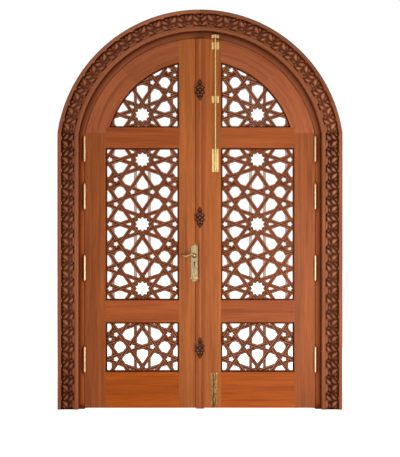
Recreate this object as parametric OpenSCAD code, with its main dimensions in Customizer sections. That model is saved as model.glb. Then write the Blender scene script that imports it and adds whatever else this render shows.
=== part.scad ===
// Arched two-leaf door in its frame: pierced star lattice, carved architrave, lever lock and surface bolts.
// Millimetres. X runs to the right, Y away from the viewer, Z up. The origin is on the floor,
// midway between the jambs, in the middle of the closed leaves' thickness.

/* [Door set] */
// Width over the architrave
overall_w = 1900; // [1800:10:2100]
// Height of the arch's centre above the floor
arch_z = 1707; // [1690:1:1800]
// How much the architrave's outer arch radius exceeds half the overall width
arch_rise = 10; // [6:1:20]

/* [Frame] */
// Width of the architrave's face
architrave_w = 139; // [130:1:150]
// How far the architrave stands out from the jamb's face
architrave_t = 34; // [30:1:45]
// Width of the architrave's outer fillet
outer_fillet_w = 24; // [18:1:30]
// Width of the architrave's inner fillet
inner_fillet_w = 27; // [18:1:30]
// Depth of the channel between the fillets
channel_d = 16; // [12:1:20]
// Width of jamb face left showing beside the leaf
reveal_w = 39; // [30:1:60]
// Width of the jamb from the leaf's edge to the masonry
jamb_w = 90; // [80:1:120]
// Depth of the jamb from front to back
jamb_d = 112; // [100:1:114]
// How far the stop laps behind the edge of the leaf
stop_lap = 11; // [8:1:14]
// Room between the back of the leaf and the stop
stop_gap = 2; // [1:0.5:4]
// Diameter of the wall fixing holes through the jambs
fixing_d = 10; // [8:0.5:12]
// Heights of the four wall fixing holes in a jamb
fixing_zs = [160, 640, 1180, 1580]; // [100:1:1640]

/* [Carved band] */
// Length of one repeat of the carving
leaf_pitch = 108; // [95:1:125]
// Thickness of the carved band under its leaves
band_base_t = 5; // [4:0.5:7]
// Height of a carved leaf's ridge above the band
leaf_ridge_h = 10; // [6:0.5:12]
// Width of the longest carved leaves
leaf_blade_w = 26; // [20:1:30]
// Room at each side of the carved band in its channel
band_fit = 0.3; // [0.1:0.1:0.5]

/* [Leaves] */
// Thickness of a leaf
leaf_t = 50; // [46:1:54]
// Height of the leaves' lower edge above the floor
leaf_lift = 8; // [5:1:12]
// Gap between a leaf and the frame
leaf_gap = 3; // [2:0.5:5]
// How much the leaves' arch radius exceeds half their common width
leaf_rise = 10; // [8:1:14]
// How far the leaves' arch centre lies below the architrave's
leaf_arch_drop = 8; // [4:1:12]
// Width of the stile on the hinges
hinge_stile_w = 138; // [120:1:150]
// Distance from the middle of the door to the panel openings
panel_inset = 141; // [130:1:160]
// Distance from the middle of the door to the meeting line
meeting_x = 36.7; // [36:0.1:40]
// Gap between the leaves at the front of the meeting line
meeting_gap = 0.4; // [0.3:0.1:2]
// How much the meeting edges fall back across the leaf's thickness
meeting_bevel = 2.4; // [2.3:0.1:3]
// Height of the bottom rail
bottom_rail_h = 240; // [200:1:260]
// Height of the lower panel opening
lower_panel_h = 332; // [300:1:350]
// Height of the rail under the middle panel
lock_rail_h = 147; // [120:1:170]
// Height of the middle panel opening
middle_panel_h = 1019; // [960:1:1040]
// Height of the rail over the middle panel
upper_rail_h = 137; // [120:1:150]
// Width of the curved rail round the top of a leaf
arch_rail_w = 144; // [135:1:155]
// Angle above the horizontal of the joint in the curved rail
arch_joint_a = 48; // [40:1:56]
// Length of the rails' tenons
tenon_l = 60; // [40:1:75]
// Thickness of the rails' tenons
tenon_t = 16; // [12:1:18]

/* [Lattice] */
// Thickness of a lattice panel
lattice_t = 20; // [18:1:26]
// Width of a slanting strap
strap_w = 26; // [22:1:28]
// Width of an upright strap
upright_w = 20; // [16:1:26]
// Sideways squeeze of the star pattern
pattern_fit = 0.957; // [0.94:0.001:1]
// Distance from a star's middle to the tips of its hole
star_tip_r = 50; // [44:1:54]
// Distance from a star's middle to the notches of its hole
star_notch_r = 37; // [34:1:39]
// Distance from a knot's middle to the tips of its hole
knot_tip_r = 20; // [14:1:21]
// Distance from a knot's middle to the notches of its hole
knot_notch_r = 10.5; // [8:0.5:11]
// Height from one star to the next
star_pitch = 432; // [400:1:460]
// Width of the plain border that shows round a lattice
border_w = 10; // [6:1:14]
// How far a lattice reaches into the groove round its opening
lattice_lap = 10; // [8:1:12]
// Room between a lattice and the bottom of its groove
groove_room = 2; // [1:0.5:3]
// Room at each face of a lattice in its groove
lattice_fit = 0.3; // [0.1:0.1:0.5]
// Height of the upper panel's star above its rail
upper_star_h = 87; // [70:1:110]

/* [Cover strip] */
// Width of the strip beside the meeting line
strip_w = 56; // [50:1:60]
// Thickness of the strip
strip_t = 14; // [12:1:18]
// Width of a carved boss on the strip
boss_w = 72; // [64:1:73]
// Height of a carved boss
boss_h = 152; // [140:1:160]
// How far a boss stands out from the strip
boss_t = 4; // [3:0.5:6]
// Heights of the bosses' centres
boss_zs = [410, 1281, 2133]; // [300:1:2200]

/* [Lock and handles] */
// Height of the lever's axis
lever_z = 1027; // [1000:1:1050]
// Distance from the lock's face to the lever's axis
backset = 72; // [69:1:75]
// Length of the lever from its axis to its tip
lever_l = 80; // [70:1:95]
// How far the lever stands out from the leaf
lever_out = 65; // [62:1:70]
// Diameter of the lever's neck
neck_d = 18; // [16:1:20]
// Width of the square spindle
spindle_w = 8; // [7:1:9]
// Width of the backplate's straight part
plate_w = 46; // [42:1:50]
// Height of the backplate's straight part
plate_h = 207; // [195:1:215]
// How far the straight part's middle lies below the midway point of lever and keyhole
plate_drop = 11; // [6:1:14]
// Height of the backplate's pointed cap
plate_cap_h = 16; // [12:1:18]
// Height of the backplate's flared foot
plate_foot_h = 15; // [12:1:18]
// How far the foot flares out at each side
plate_flare = 8; // [5:1:9]
// Thickness of a backplate
plate_t = 6; // [4:0.5:8]
// Distance from the lever's axis down to the key's axis
key_drop = 57; // [52:1:62]
// Diameter of the keyhole's round part
keyhole_d = 12; // [9:0.5:14]
// Height of the keyhole
keyhole_h = 30; // [24:1:32]
// Thickness of the lock case
case_t = 16; // [15:1:18]
// Height of the lock case
case_h = 160; // [150:1:170]
// Depth of the lock case behind its face
case_d = 100; // [96:1:104]
// Wall of the lock case
case_wall = 1.5; // [1:0.5:2]
// Height of the lock's face on the edge of the leaf
face_h = 210; // [200:1:230]
// Width of the lock's face and of the strike
face_w = 22; // [20:1:24]
// Thickness of the lock's face and of the strike
face_t = 3; // [2:0.5:4]
// Height of the strike
strike_h = 130; // [115:1:140]
// Height of the latch
latch_h = 16; // [14:1:18]
// Height of the dead bolt
dead_h = 20; // [18:1:22]
// Thickness of the latch and of the dead bolt
nose_t = 11.6; // [11:0.1:12]
// Length of the latch
latch_l = 38; // [36:1:40]
// Length of the dead bolt with its tail behind the keyhole
dead_l = 84; // [80:1:90]
// Depth of the pocket behind the strike
pocket_d = 28; // [24:1:32]
// Clearance round a sliding piece
slide_fit = 0.3; // [0.3:0.1:0.5]
// Clearance round a turning piece
turn_fit = 0.05; // [0.03:0.01:0.08]

/* [Surface bolts] */
// Distance of the top bolt from the middle of the door
top_bolt_x = 103; // [95:1:110]
// Distance of the bottom bolt from the middle of the door
bottom_bolt_x = 95; // [90:1:110]
// Diameter of a bolt rod
rod_d = 11.5; // [10:0.5:13]
// Width of the bolts' plates
bolt_plate_w = 43; // [40:1:46]
// Width of the top bolt's guides and of its keeper
guide_w = 49; // [44:1:52]
// Height of a guide
guide_h = 47; // [42:1:50]
// Thickness of the plates under the guides
bolt_plate_t = 2.5; // [2:0.5:3]
// Height of the top bolt's lower plate
top_plate_h = 153; // [140:1:165]
// Height of the top plate's lower edge above the floor
top_plate_z = 1586; // [1560:1:1600]
// How far the middles of the top bolt's two guides lie below the keeper
guide_drops = [52, 410]; // [48:1:450]
// Height of the keeper on the head of the frame
keeper_h = 22; // [20:1:24]
// Room between the drawn top rod and the keeper
keeper_room = 3; // [2:0.5:5]
// Height of the bottom bolt's plate
bottom_plate_h = 214; // [205:1:220]
// Height of the bottom plate's lower edge above the floor
bottom_plate_z = 32; // [26:1:34]
// Height of the drawn bottom rod's end above the floor
bottom_rod_z = 13; // [10:1:16]
// Diameter of the bolts' knobs
knob_d = 14; // [12:1:16]

/* [Hinges] */
// Heights of the hinges' centres
hinge_zs = [330, 943, 1421, 1739]; // [300:1:1745]
// Length of a hinge's knuckles together
knuckles_l = 160; // [140:2:164]
// Diameter of a knuckle
knuckle_d = 17; // [15:1:18]
// Diameter of a hinge pin
pin_d = 7; // [6:0.5:8]
// Thickness of a hinge plate
hinge_plate_t = 2.5; // [2:0.5:3]
// Depth to which a hinge plate is let in from the face
hinge_plate_d = 34; // [28:1:38]
// Gap between a knuckle and the faces beside it, and between knuckles
knuckle_gap = 0.5; // [0.4:0.1:0.8]

/* [Hidden] */
$fn = 96;
wood = "#a9683f";
dark_wood = "#7a452c";
pale_wood = "#b4683a";
brass = "#c9a75c";
dull_brass = "#a89057";
steel = "#9a9a98";

// Half widths and arch radii of the nested outlines
outer_half = overall_w / 2;
outer_r = outer_half + arch_rise;
spring_z = knee(outer_half, arch_rise, arch_z);
leaf_arch_z = arch_z - leaf_arch_drop;
leaf_half = outer_half - architrave_w - reveal_w - leaf_gap;
leaf_r = leaf_half + leaf_rise;
jamb_half = leaf_half + leaf_gap;
stop_half = leaf_half - stop_lap;
frame_half = jamb_half + jamb_w;
top_z = arch_z + outer_r;

// Depths, from the viewer's side to the back
leaf_front = -leaf_t / 2;
leaf_back = leaf_t / 2;
stop_front = leaf_back + stop_gap;
frame_back = leaf_front + jamb_d;

// Panel openings
panel_outer = leaf_half - hinge_stile_w;
open_r = leaf_r - arch_rail_w;
lower_z = leaf_lift + bottom_rail_h;
lock_rail_z = lower_z + lower_panel_h;
middle_z = lock_rail_z + lock_rail_h;
upper_rail_z = middle_z + middle_panel_h;
upper_z = upper_rail_z + upper_rail_h;
panel_x = (panel_inset + panel_outer) / 2;
groove_d = lattice_lap + groove_room;

// Star pattern: ten-sided cells stacked edge to edge, their corners at vertex_r
cell_apothem = star_pitch / 2;
vertex_r = cell_apothem / cos(18);
knot_d = vertex_r * sin(18) * sin(18);
knot_r = knot_d / cos(72);
star_d = vertex_r * cos(72) - knot_d;
side_d = cell_apothem * cos(18);
strap_reach = star_pitch * 1.8;

// Meeting edges and lock
left_edge = meeting_x - meeting_gap / 2;
right_edge = meeting_x + meeting_gap / 2;
lock_face_x = left_edge - meeting_bevel;
strike_x = right_edge + meeting_bevel;
lever_x = lock_face_x - backset;
key_z = lever_z - key_drop;
case_z = lever_z - (case_h + key_drop) / 2;
face_z = case_z + (case_h - face_h) / 2;
strike_z = (lever_z + key_z - strike_h) / 2;
plate_z = (lever_z + key_z - plate_h) / 2 - plate_drop;
plate_half = plate_w / 2 + plate_flare;
plate_tip_r = plate_w * 0.38;

// Surface bolts
rod_y = leaf_front - bolt_plate_t - 1 - rod_d / 2;
saddle_r = rod_d / 2 + bolt_plate_t + 0.9;
keeper_z = leaf_arch_z + sqrt(pow(leaf_r + leaf_gap, 2) - pow(top_bolt_x - guide_w / 2, 2)) + 3;
top_rod_z = keeper_z - keeper_room;

// Hinges
hinge_x = leaf_half + leaf_gap / 2;
hinge_y = leaf_front - knuckle_d / 2 - knuckle_gap;
knuckles = 5;
knuckle_l = knuckles_l / knuckles;

// Height at which a straight side of this half width meets its arch
function knee(half, rise, centre_z) = centre_z + sqrt(pow(half + rise, 2) - half * half);

// A flat outline in X and Z, thickened from y0 back to y1
module slab(y0, y1) {
  translate([0, y1, 0]) rotate([90, 0, 0]) linear_extrude(y1 - y0) children();
}

module span(x0, x1, z0, z1) {
  translate([x0, z0]) square([x1 - x0, z1 - z0]);
}

module block(x0, x1, y0, y1, z0, z1) {
  translate([x0, y0, z0]) cube([x1 - x0, y1 - y0, z1 - z0]);
}

// Everything is drawn on the right; the left side is its mirror image
module on_left() {
  mirror([1, 0, 0]) children();
}

// Area under one of the leaves' and jambs' arches, straight up to the knee and then round
module arch_region(half) {
  knee_z = knee(half, leaf_rise, leaf_arch_z);
  span(-half, half, 0, knee_z);
  intersection() {
    translate([0, leaf_arch_z]) circle(half + leaf_rise);
    span(-half, half, knee_z, leaf_arch_z + half + leaf_rise);
  }
}

// Frame

module frame_ring(half) {
  difference() {
    arch_region(frame_half);
    arch_region(half);
  }
}

module frame_piece(z0, z1) {
  for (layer = [[leaf_front, stop_front, jamb_half], [stop_front, frame_back, stop_half]])
    slab(layer[0], layer[1]) intersection() {
      frame_ring(layer[2]);
      span(0, frame_half, z0, z1);
    }
}

module jamb() {
  color(wood) difference() {
    frame_piece(0, spring_z);
    for (z = hinge_zs)
      block(stop_half, jamb_half + hinge_plate_t, leaf_front - 1, leaf_front + hinge_plate_d,
            z - knuckles_l / 2, z + knuckles_l / 2);
    for (z = fixing_zs)
      translate([stop_half, 0, z]) rotate([0, 90, 0]) cylinder(d = fixing_d, h = frame_half);
  }
}

module head() {
  color(wood) frame_piece(spring_z, top_z);
}

// Section of the architrave: across from its outer edge, and out from the jamb's face
function architrave_section() = let (
  t = architrave_t, w = architrave_w, o = outer_fillet_w, i = w - inner_fillet_w, ease = 3
) [
  [0, 0], [0, t - 2 * ease], [ease, t - ease / 2], [2 * ease, t], [o - ease, t], [o, t - ease],
  [o, t - channel_d], [i, t - channel_d], [i, t - ease], [i + ease, t], [w - 3 * ease, t],
  [w - ease, t - ease], [w, t - 3 * ease], [w, 0]
];

// Sweeps a section, given across and out, up the side of the frame and round its arch
module straight_sweep(section) {
  linear_extrude(spring_z) polygon([for (p = section) [outer_half - p[0], leaf_front - p[1]]]);
}

module arch_sweep(section) {
  start_a = asin((spring_z - arch_z) / outer_r) - 3;
  difference() {
    translate([0, 0, arch_z]) rotate([90, 0, 0]) rotate_extrude(angle = 90 - start_a, start = start_a)
      polygon([for (p = section) [outer_r - p[0], p[1] - leaf_front]]);
    block(0, outer_r, leaf_front - 2 * architrave_t, leaf_back, arch_z - outer_r, spring_z);
  }
}

// Carved band

function band_section() = let (
  o = outer_fillet_w + band_fit, i = architrave_w - inner_fillet_w - band_fit, t = architrave_t - channel_d
) [[o, t], [o, t + band_base_t], [i, t + band_base_t], [i, t]];

// Points across a carved leaf: edges sunk in the ground, ridge above it, along a bowed spine
function blade_point(t, side, l, w, h, bow) = let (swell = pow(sin(180 * t), 0.8)) [
  l * t,
  bow * sin(180 * t) + side * w / 2 * swell,
  side == 0 ? h * swell : -1
];

module blade(l, w, h, bow) {
  stations = 5;
  points = concat(
    [[0, 0, -1]],
    [for (i = [1 : stations - 1], side = [-1, 0, 1]) blade_point(i / stations, side, l, w, h, bow)],
    [[l, 0, -1]]
  );
  last = len(points) - 1;
  first_faces = [[0, 1, 2], [0, 2, 3], [0, 3, 1]];
  last_faces = [[last, last - 2, last - 3], [last, last - 1, last - 2], [last, last - 3, last - 1]];
  side_faces = [
    for (i = [0 : stations - 3], pair = [[1, 2], [2, 3], [3, 1]])
      let (a = 3 * i + pair[0], b = 3 * i + pair[1])
        each [[a, a + 3, b + 3], [a, b + 3, b]]
  ];
  polyhedron(points, [for (f = concat(first_faces, last_faces, side_faces)) [f[2], f[1], f[0]]]);
}

// One carved leaf from one point to another of the band, in shares of the repeat and of the half width
module carved_leaf(l, half_w, from, to, w_share, bow) {
  start = [from[0] * l, from[1] * half_w];
  lean = [to[0] * l, to[1] * half_w] - start;
  translate(start) rotate(atan2(lean[1], lean[0]))
    blade(norm(lean), leaf_blade_w * w_share, leaf_ridge_h * (0.4 + 0.6 * w_share), bow);
}

// One repeat of a zigzag: two leaves side by side that climb inwards, and leaves that fall outwards
module carved_repeat(l) {
  band_w = architrave_w - outer_fillet_w - inner_fillet_w;
  half_w = band_w / 2 - 3;
  translate([0, outer_fillet_w + band_w / 2, 0]) {
    carved_leaf(l, half_w, [0.01, 0.06], [0.41, 0.94], 0.9, 4);
    carved_leaf(l, half_w, [0.06, -0.74], [0.46, 0.14], 0.9, 4);
    carved_leaf(l, half_w, [0.02, -0.94], [-0.4, 0.06], 1.1, -6);
    carved_leaf(l, half_w, [-0.28, -0.92], [-0.46, -0.3], 0.6, -3);
    carved_leaf(l, half_w, [-0.42, 0.3], [-0.08, 0.5], 0.6, 3);
  }
}

module straight_carving() {
  count = round(spring_z / leaf_pitch);
  pitch = spring_z / count;
  for (i = [0 : count - 1])
    translate([outer_half, leaf_front - architrave_t + channel_d - band_base_t, (i + 0.5) * pitch])
      rotate([90, 0, 0]) rotate(90) carved_repeat(pitch);
}

module arch_carving() {
  middle_r = outer_r - architrave_w / 2;
  start_a = asin((spring_z - arch_z) / middle_r) + 0.4;
  count = round((90 - start_a) * PI / 180 * middle_r / leaf_pitch);
  step_a = (90 - start_a) / count;
  for (i = [0 : count - 1])
    translate([0, leaf_front - architrave_t + channel_d - band_base_t, arch_z])
      rotate([0, -start_a - (i + 0.5) * step_a, 0]) translate([outer_r, 0, 0])
        rotate([90, 0, 0]) rotate(90) carved_repeat(step_a * PI / 180 * middle_r);
}

module straight_architrave() {
  color(wood) straight_sweep(architrave_section());
}

module arch_architrave() {
  color(wood) arch_sweep(architrave_section());
}

module straight_band() {
  color(dark_wood) {
    straight_sweep(band_section());
    straight_carving();
  }
}

module arch_band() {
  color(dark_wood) {
    arch_sweep(band_section());
    arch_carving();
  }
}

// Leaves

// Panel opening, grown by so much on every side: 0 is the lower one, 2 the arched one
module opening(i, grow) {
  if (i == 0) span(panel_inset - grow, panel_outer + grow, lower_z - grow, lock_rail_z + grow);
  if (i == 1) span(panel_inset - grow, panel_outer + grow, middle_z - grow, upper_rail_z + grow);
  if (i == 2) intersection() {
    translate([0, leaf_arch_z]) circle(open_r + grow);
    span(panel_inset - grow, leaf_half, upper_z - grow, top_z);
  }
}

module leaf_region(edge) {
  intersection() {
    arch_region(leaf_half);
    span(edge, leaf_half, leaf_lift, top_z);
  }
}

// A stile or rail: its outline through the leaf's thickness, grooved for the lattices beside it
module grooved(openings) {
  difference() {
    slab(leaf_front, leaf_back) children();
    for (i = openings)
      slab(-lattice_t / 2 - lattice_fit, lattice_t / 2 + lattice_fit) opening(i, groove_d);
  }
}

module tenons(z0, z1) {
  for (x = [panel_inset - tenon_l, panel_outer])
    block(x, x + tenon_l, -tenon_t / 2, tenon_t / 2, z0, z1);
}

// Heights of the rails' tenons, clear of the grooves
tenon_spans = [
  [leaf_lift + 2 * groove_d, lower_z - groove_d],
  [lock_rail_z + groove_d, middle_z - groove_d],
  [upper_rail_z + groove_d, spring_z - groove_d]
];

module mortises() {
  for (s = tenon_spans) tenons(s[0], s[1]);
}

module hinge_stile() {
  color(wood) difference() {
    grooved([0, 1]) intersection() {
      leaf_region(panel_outer);
      span(panel_outer, leaf_half, leaf_lift, spring_z);
    }
    mortises();
    for (z = hinge_zs)
      block(leaf_half - hinge_plate_t, jamb_half, leaf_front - 1, leaf_front + hinge_plate_d,
            z - knuckles_l / 2, z + knuckles_l / 2);
  }
}

module meeting_stile(edge) {
  difference() {
    grooved([0, 1, 2]) intersection() {
      leaf_region(edge);
      span(edge, panel_inset, leaf_lift, top_z);
    }
    mortises();
    meeting_cut(edge);
  }
}

// Wedge that slants a meeting edge, so that the leaf's back corner clears the other leaf as it opens
module meeting_cut(edge) {
  slant = [meeting_bevel, leaf_t] / 10;
  front = [edge, leaf_front] - slant;
  back = [edge + meeting_bevel, leaf_back] + slant;
  linear_extrude(top_z) polygon([front, back, [front[0] - leaf_t, back[1]]]);
}

// The left leaf reaches across the middle of the door to the meeting line
module left_meeting_stile() {
  color(wood) difference() {
    on_left() meeting_stile(-left_edge);
    block(lock_face_x - face_t - case_d, left_edge, -case_t / 2, case_t / 2, case_z, case_z + case_h);
    block(lock_face_x - face_t, left_edge + 1, -face_w / 2, face_w / 2, face_z, face_z + face_h);
    for (hole = [[lever_z, neck_d + 4], [key_z, neck_d - 2]])
      translate([lever_x, leaf_front - 1, hole[0]]) rotate([-90, 0, 0]) cylinder(d = hole[1], h = leaf_t + 2);
  }
}

module right_meeting_stile() {
  color(wood) difference() {
    meeting_stile(right_edge);
    block(right_edge - 1, strike_x + face_t, -face_w / 2, face_w / 2, strike_z, strike_z + strike_h);
    for (nose = [[lever_z, latch_h], [key_z, dead_h]])
      block(strike_x, strike_x + pocket_d, -nose_t / 2 - 1, nose_t / 2 + 1,
            nose[0] - nose[1] / 2 - 1, nose[0] + nose[1] / 2 + 1);
  }
}

module rail(z0, z1, openings, tenon_span) {
  color(pale_wood) {
    grooved(openings) span(panel_inset, panel_outer, z0, z1);
    tenons(tenon_span[0], tenon_span[1]);
  }
}

module bottom_rail() {
  rail(leaf_lift, lower_z, [0], tenon_spans[0]);
}

module lock_rail() {
  rail(lock_rail_z, middle_z, [0, 1], tenon_spans[1]);
}

module upper_rail() {
  rail(upper_rail_z, upper_z, [1, 2], tenon_spans[2]);
}

// Part of the curved rail between two angles above the horizontal
module curved_rail(a0, a1) {
  far = 2 * leaf_r;
  color(pale_wood) grooved([2]) intersection() {
    difference() {
      leaf_region(panel_inset);
      translate([0, leaf_arch_z]) circle(open_r);
      span(panel_inset, panel_outer, leaf_lift, upper_z);
      span(panel_outer, leaf_half, leaf_lift, spring_z);
    }
    translate([0, leaf_arch_z]) polygon([[0, 0], far * [cos(a0), sin(a0)], far * [cos(a1), sin(a1)]]);
  }
}

module haunch_rail() {
  curved_rail(0, arch_joint_a);
}

module crown_rail() {
  curved_rail(arch_joint_a, 90);
}

// Lattice

// Points of the pattern are squeezed sideways, but straps and holes keep their sizes
function squeezed(p) = [p[0] * pattern_fit, p[1]];

// A strap through a point, running so far before and after it
module strap(point, direction, before, after, w = strap_w) {
  run = [cos(direction), sin(direction)];
  start = squeezed(point - before * run);
  lean = squeezed((before + after) * run);
  translate(start) rotate(atan2(lean[1], lean[0])) translate([0, -w / 2]) square([norm(lean), w]);
}

// Pointed hole, with its first tip in this direction
module star_hole(tips, tip_r, notch_r, direction) {
  polygon([
    for (k = [0 : 2 * tips - 1])
      let (r = k % 2 == 0 ? tip_r : notch_r, a = direction + 180 * k / tips) r * [cos(a), sin(a)]
  ]);
}

// Holes of one star and of the knots on the corners of its cell
module star_holes() {
  star_hole(10, star_tip_r, star_notch_r, 18);
  for (a = [0 : 36 : 324])
    translate(squeezed(vertex_r * [cos(a), sin(a)])) star_hole(5, knot_tip_r, knot_notch_r, a);
}

// The slanting straps that belong to one star and to the crossing above it
module star_straps() {
  knot = [-vertex_r, -star_pitch + 2 * vertex_r * sin(36)];
  outer_line = star_d * [cos(144), sin(144)];
  for (half = [0, 1]) mirror([half, 0]) {
    for (side = [-1, 1]) strap(side * star_d * [cos(108), sin(108)], 18, strap_reach, strap_reach);
    strap([0, cell_apothem], 18, strap_reach, strap_reach);
    strap(star_d * [cos(324), sin(324)], 54, strap_reach, strap_reach);
    strap(outer_line, 54, (side_d + outer_line[0]) / cos(54), strap_reach);
    strap(knot + knot_r * [1, 0], 18, vertex_r, 0);
    strap(knot + knot_r * [cos(72), sin(72)], 54, vertex_r / 2, 0);
  }
}

// Lattice in one opening, with a star at this height
module lattice(i, star_z) {
  color(dark_wood) slab(-lattice_t / 2, lattice_t / 2) {
    intersection() {
      opening(i, 0);
      translate([panel_x, star_z]) difference() {
        union() {
          for (x = [-side_d, -star_d, star_d, side_d]) strap([x, 0], 90, strap_reach, strap_reach, upright_w);
          for (k = [-2 : 2]) translate([0, k * star_pitch]) star_straps();
        }
        for (k = [-2 : 2]) translate([0, k * star_pitch]) star_holes();
      }
    }
    difference() {
      opening(i, lattice_lap);
      opening(i, -border_w);
    }
  }
}

module lower_lattice() {
  lattice(0, (lower_z + lock_rail_z + star_pitch) / 2);
}

module middle_lattice() {
  lattice(1, (middle_z + upper_rail_z) / 2);
}

module upper_lattice() {
  lattice(2, upper_z + upper_star_h);
}

// Cover strip

// Half of the strip's moulded section, with a bead at its edge, a quirk, a fillet and a reed in the middle:
// out from the middle, and up from the leaf
function strip_half_section() = let (
  h = strip_w / 2, t = strip_t, bead = strip_w / 7, reed = strip_w * 0.18
) [
  [h, 0], [h, t - 5], [h - 1.5, t - 2], [h - bead / 2, t - 0.5], [h - bead, t - 2], [h - bead - 1, t - 4],
  [h - bead - 3, t - 4], [h - bead - 4, t - 0.5], [reed + 3, t - 0.5], [reed + 2, t - 3], [reed + 1, t - 3],
  [reed, t - 1.2], [reed / 2, t]
];

module strip_section() {
  right = strip_half_section();
  count = len(right);
  polygon(concat(right, [for (i = [count - 1 : -1 : 0]) [-right[i][0], right[i][1]]]));
}

// Outline of a boss: a bud over a body with two lobes on each side, and a pointed foot
module boss_outline() {
  right = [[0, 0.5], [0.21, 0.345], [0.155, 0.25], [0.3, 0.19], [0.4, 0], [0.3, -0.225], [0.31, -0.29],
    [0, -0.5]];
  for (side = [-1, 1]) {
    polygon([for (p = right) [side * p[0] * boss_w, p[1] * boss_h]]);
    for (z = [0.106, -0.13]) translate([side * 0.36 * boss_w, z * boss_h]) circle(0.125 * boss_w);
  }
}

// Carved boss with a knot of leaves round a button
module boss() {
  face = strip_t + boss_t;
  rotate([90, 0, 0]) {
    linear_extrude(face) boss_outline();
    translate([0, 0, face]) {
      for (flip_x = [0, 1], flip_y = [0, 1]) mirror([flip_x, 0, 0]) mirror([0, flip_y, 0]) {
        translate([3, boss_h * 0.32]) rotate(-62) blade(boss_h * 0.28, 11, 4, 2);
        translate([2, boss_h * 0.2]) rotate(-66) blade(boss_h * 0.2, 9, 4, 1);
      }
      for (turn = [90, 270]) rotate(turn) translate([boss_h * 0.27, 0]) blade(boss_h * 0.2, 10, 4, 0);
      cylinder(d1 = 10, d2 = 5, h = 4);
    }
  }
}

module cover_strip() {
  strip_top = leaf_arch_z + sqrt(leaf_r * leaf_r - strip_w * strip_w / 4) - 2;
  notch = 1;
  color(pale_wood) difference() {
    union() {
      translate([0, leaf_front, leaf_lift - 4]) linear_extrude(strip_top - leaf_lift + 4) mirror([0, 1])
        strip_section();
      for (z = boss_zs) translate([0, leaf_front, z]) boss();
    }
    translate([lever_x, 0, 0]) block(-plate_half - notch, plate_half + notch, leaf_front - 2 * strip_t,
      leaf_front + 1, plate_z - plate_foot_h - plate_tip_r - notch, plate_z + plate_h + plate_cap_h + notch);
  }
}

// Handles and lock

// Straight plate with a hollow-sided pointed cap, a flared foot and a round tip
module plate_outline() {
  span(-plate_w / 2, plate_w / 2, plate_z - 1, plate_z + plate_h);
  translate([0, plate_z + plate_h]) difference() {
    span(-plate_w / 2, plate_w / 2, -1, plate_cap_h);
    for (side = [-1, 1]) translate([side * plate_w / 2, plate_w / 2]) circle(d = plate_w);
  }
  translate([0, plate_z]) difference() {
    span(-plate_half, plate_half, -plate_foot_h, 0);
    for (side = [-1, 1]) translate([side * plate_half, 0]) circle(plate_flare);
  }
  translate([0, plate_z - plate_foot_h]) circle(plate_tip_r);
}

module keyhole() {
  top = key_z + keyhole_h / 2;
  translate([0, top - keyhole_d / 2]) circle(d = keyhole_d);
  span(-keyhole_d / 4, keyhole_d / 4, top - keyhole_h, top - keyhole_d / 2);
}

module backplate() {
  color(dull_brass) translate([lever_x, 0, 0]) difference() {
    slab(leaf_front - plate_t, leaf_front) difference() {
      plate_outline();
      keyhole();
    }
    translate([0, leaf_front, lever_z]) rotate([90, 0, 0])
      translate([0, 0, -1]) cylinder(d = neck_d + 2 * turn_fit, h = plate_t + 2);
  }
}

// Ring of points round the lever's arm at a share t of its length
arm_sides = 12;
function arm_ring(t) = let (
  r = neck_d * (0.46 - 0.16 * t) * sqrt(1 - pow(max(0, t - 0.85) / 0.155, 2)),
  y = leaf_front - lever_out + neck_d * 0.46,
  z = 7 * sin(360 * t) * (1 - 0.3 * t)
) [
  for (k = [0 : arm_sides - 1]) let (a = 360 * k / arm_sides) [-lever_l * t, y + r * cos(a), z + r * sin(a)]
];

module lever_arm() {
  rings = 14;
  points = [for (i = [0 : rings]) each arm_ring(i / rings)];
  faces = [
    for (i = [0 : rings - 1], k = [0 : arm_sides - 1])
      let (a = i * arm_sides + k, b = i * arm_sides + (k + 1) % arm_sides)
        each [[a, b, b + arm_sides], [a, b + arm_sides, a + arm_sides]]
  ];
  ends = [
    [for (k = [arm_sides - 1 : -1 : 0]) k],
    [for (k = [0 : arm_sides - 1]) rings * arm_sides + k]
  ];
  polyhedron(points, concat(faces, ends));
}

module lever() {
  collar_t = 9;
  color(brass) translate([lever_x, 0, lever_z]) difference() {
    union() {
      rotate([90, 0, 0]) {
        translate([0, 0, -leaf_front]) cylinder(d = neck_d, h = lever_out - neck_d * 0.2);
        translate([0, 0, plate_t + slide_fit - leaf_front])
          cylinder(d1 = neck_d * 1.7, d2 = neck_d * 1.2, h = collar_t);
      }
      lever_arm();
    }
    block(-spindle_w / 2, spindle_w / 2, leaf_front - lever_out / 2, leaf_front + 1,
          -spindle_w / 2, spindle_w / 2);
  }
}

module on_back() {
  mirror([0, 1, 0]) children();
}

module spindle() {
  reach = leaf_t / 2 + lever_out / 2;
  color(steel) translate([lever_x, 0, lever_z])
    block(-spindle_w / 2, spindle_w / 2, -reach, reach, -spindle_w / 2, spindle_w / 2);
}

module nose_windows(grow) {
  for (nose = [[lever_z, latch_h], [key_z, dead_h]])
    block(lock_face_x - 2 * face_t, strike_x + 2 * face_t, -nose_t / 2 - grow, nose_t / 2 + grow,
          nose[0] - nose[1] / 2 - grow, nose[0] + nose[1] / 2 + grow);
}

module lock_case() {
  case_x = lock_face_x - face_t - case_d;
  color(steel) difference() {
    union() {
      block(case_x, lock_face_x - face_t, -case_t / 2, case_t / 2, case_z, case_z + case_h);
      block(lock_face_x - face_t, lock_face_x, -face_w / 2, face_w / 2, face_z, face_z + face_h);
    }
    block(case_x + case_wall, lock_face_x - face_t - case_wall,
          case_wall - case_t / 2, case_t / 2 - case_wall,
          case_z + case_wall, case_z + case_h - case_wall);
    nose_windows(slide_fit);
    for (hole = [[lever_z, spindle_w * 1.6], [key_z, 9]])
      translate([lever_x, -case_t, hole[0]]) rotate([-90, 0, 0]) cylinder(d = hole[1], h = 2 * case_t);
  }
}

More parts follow.
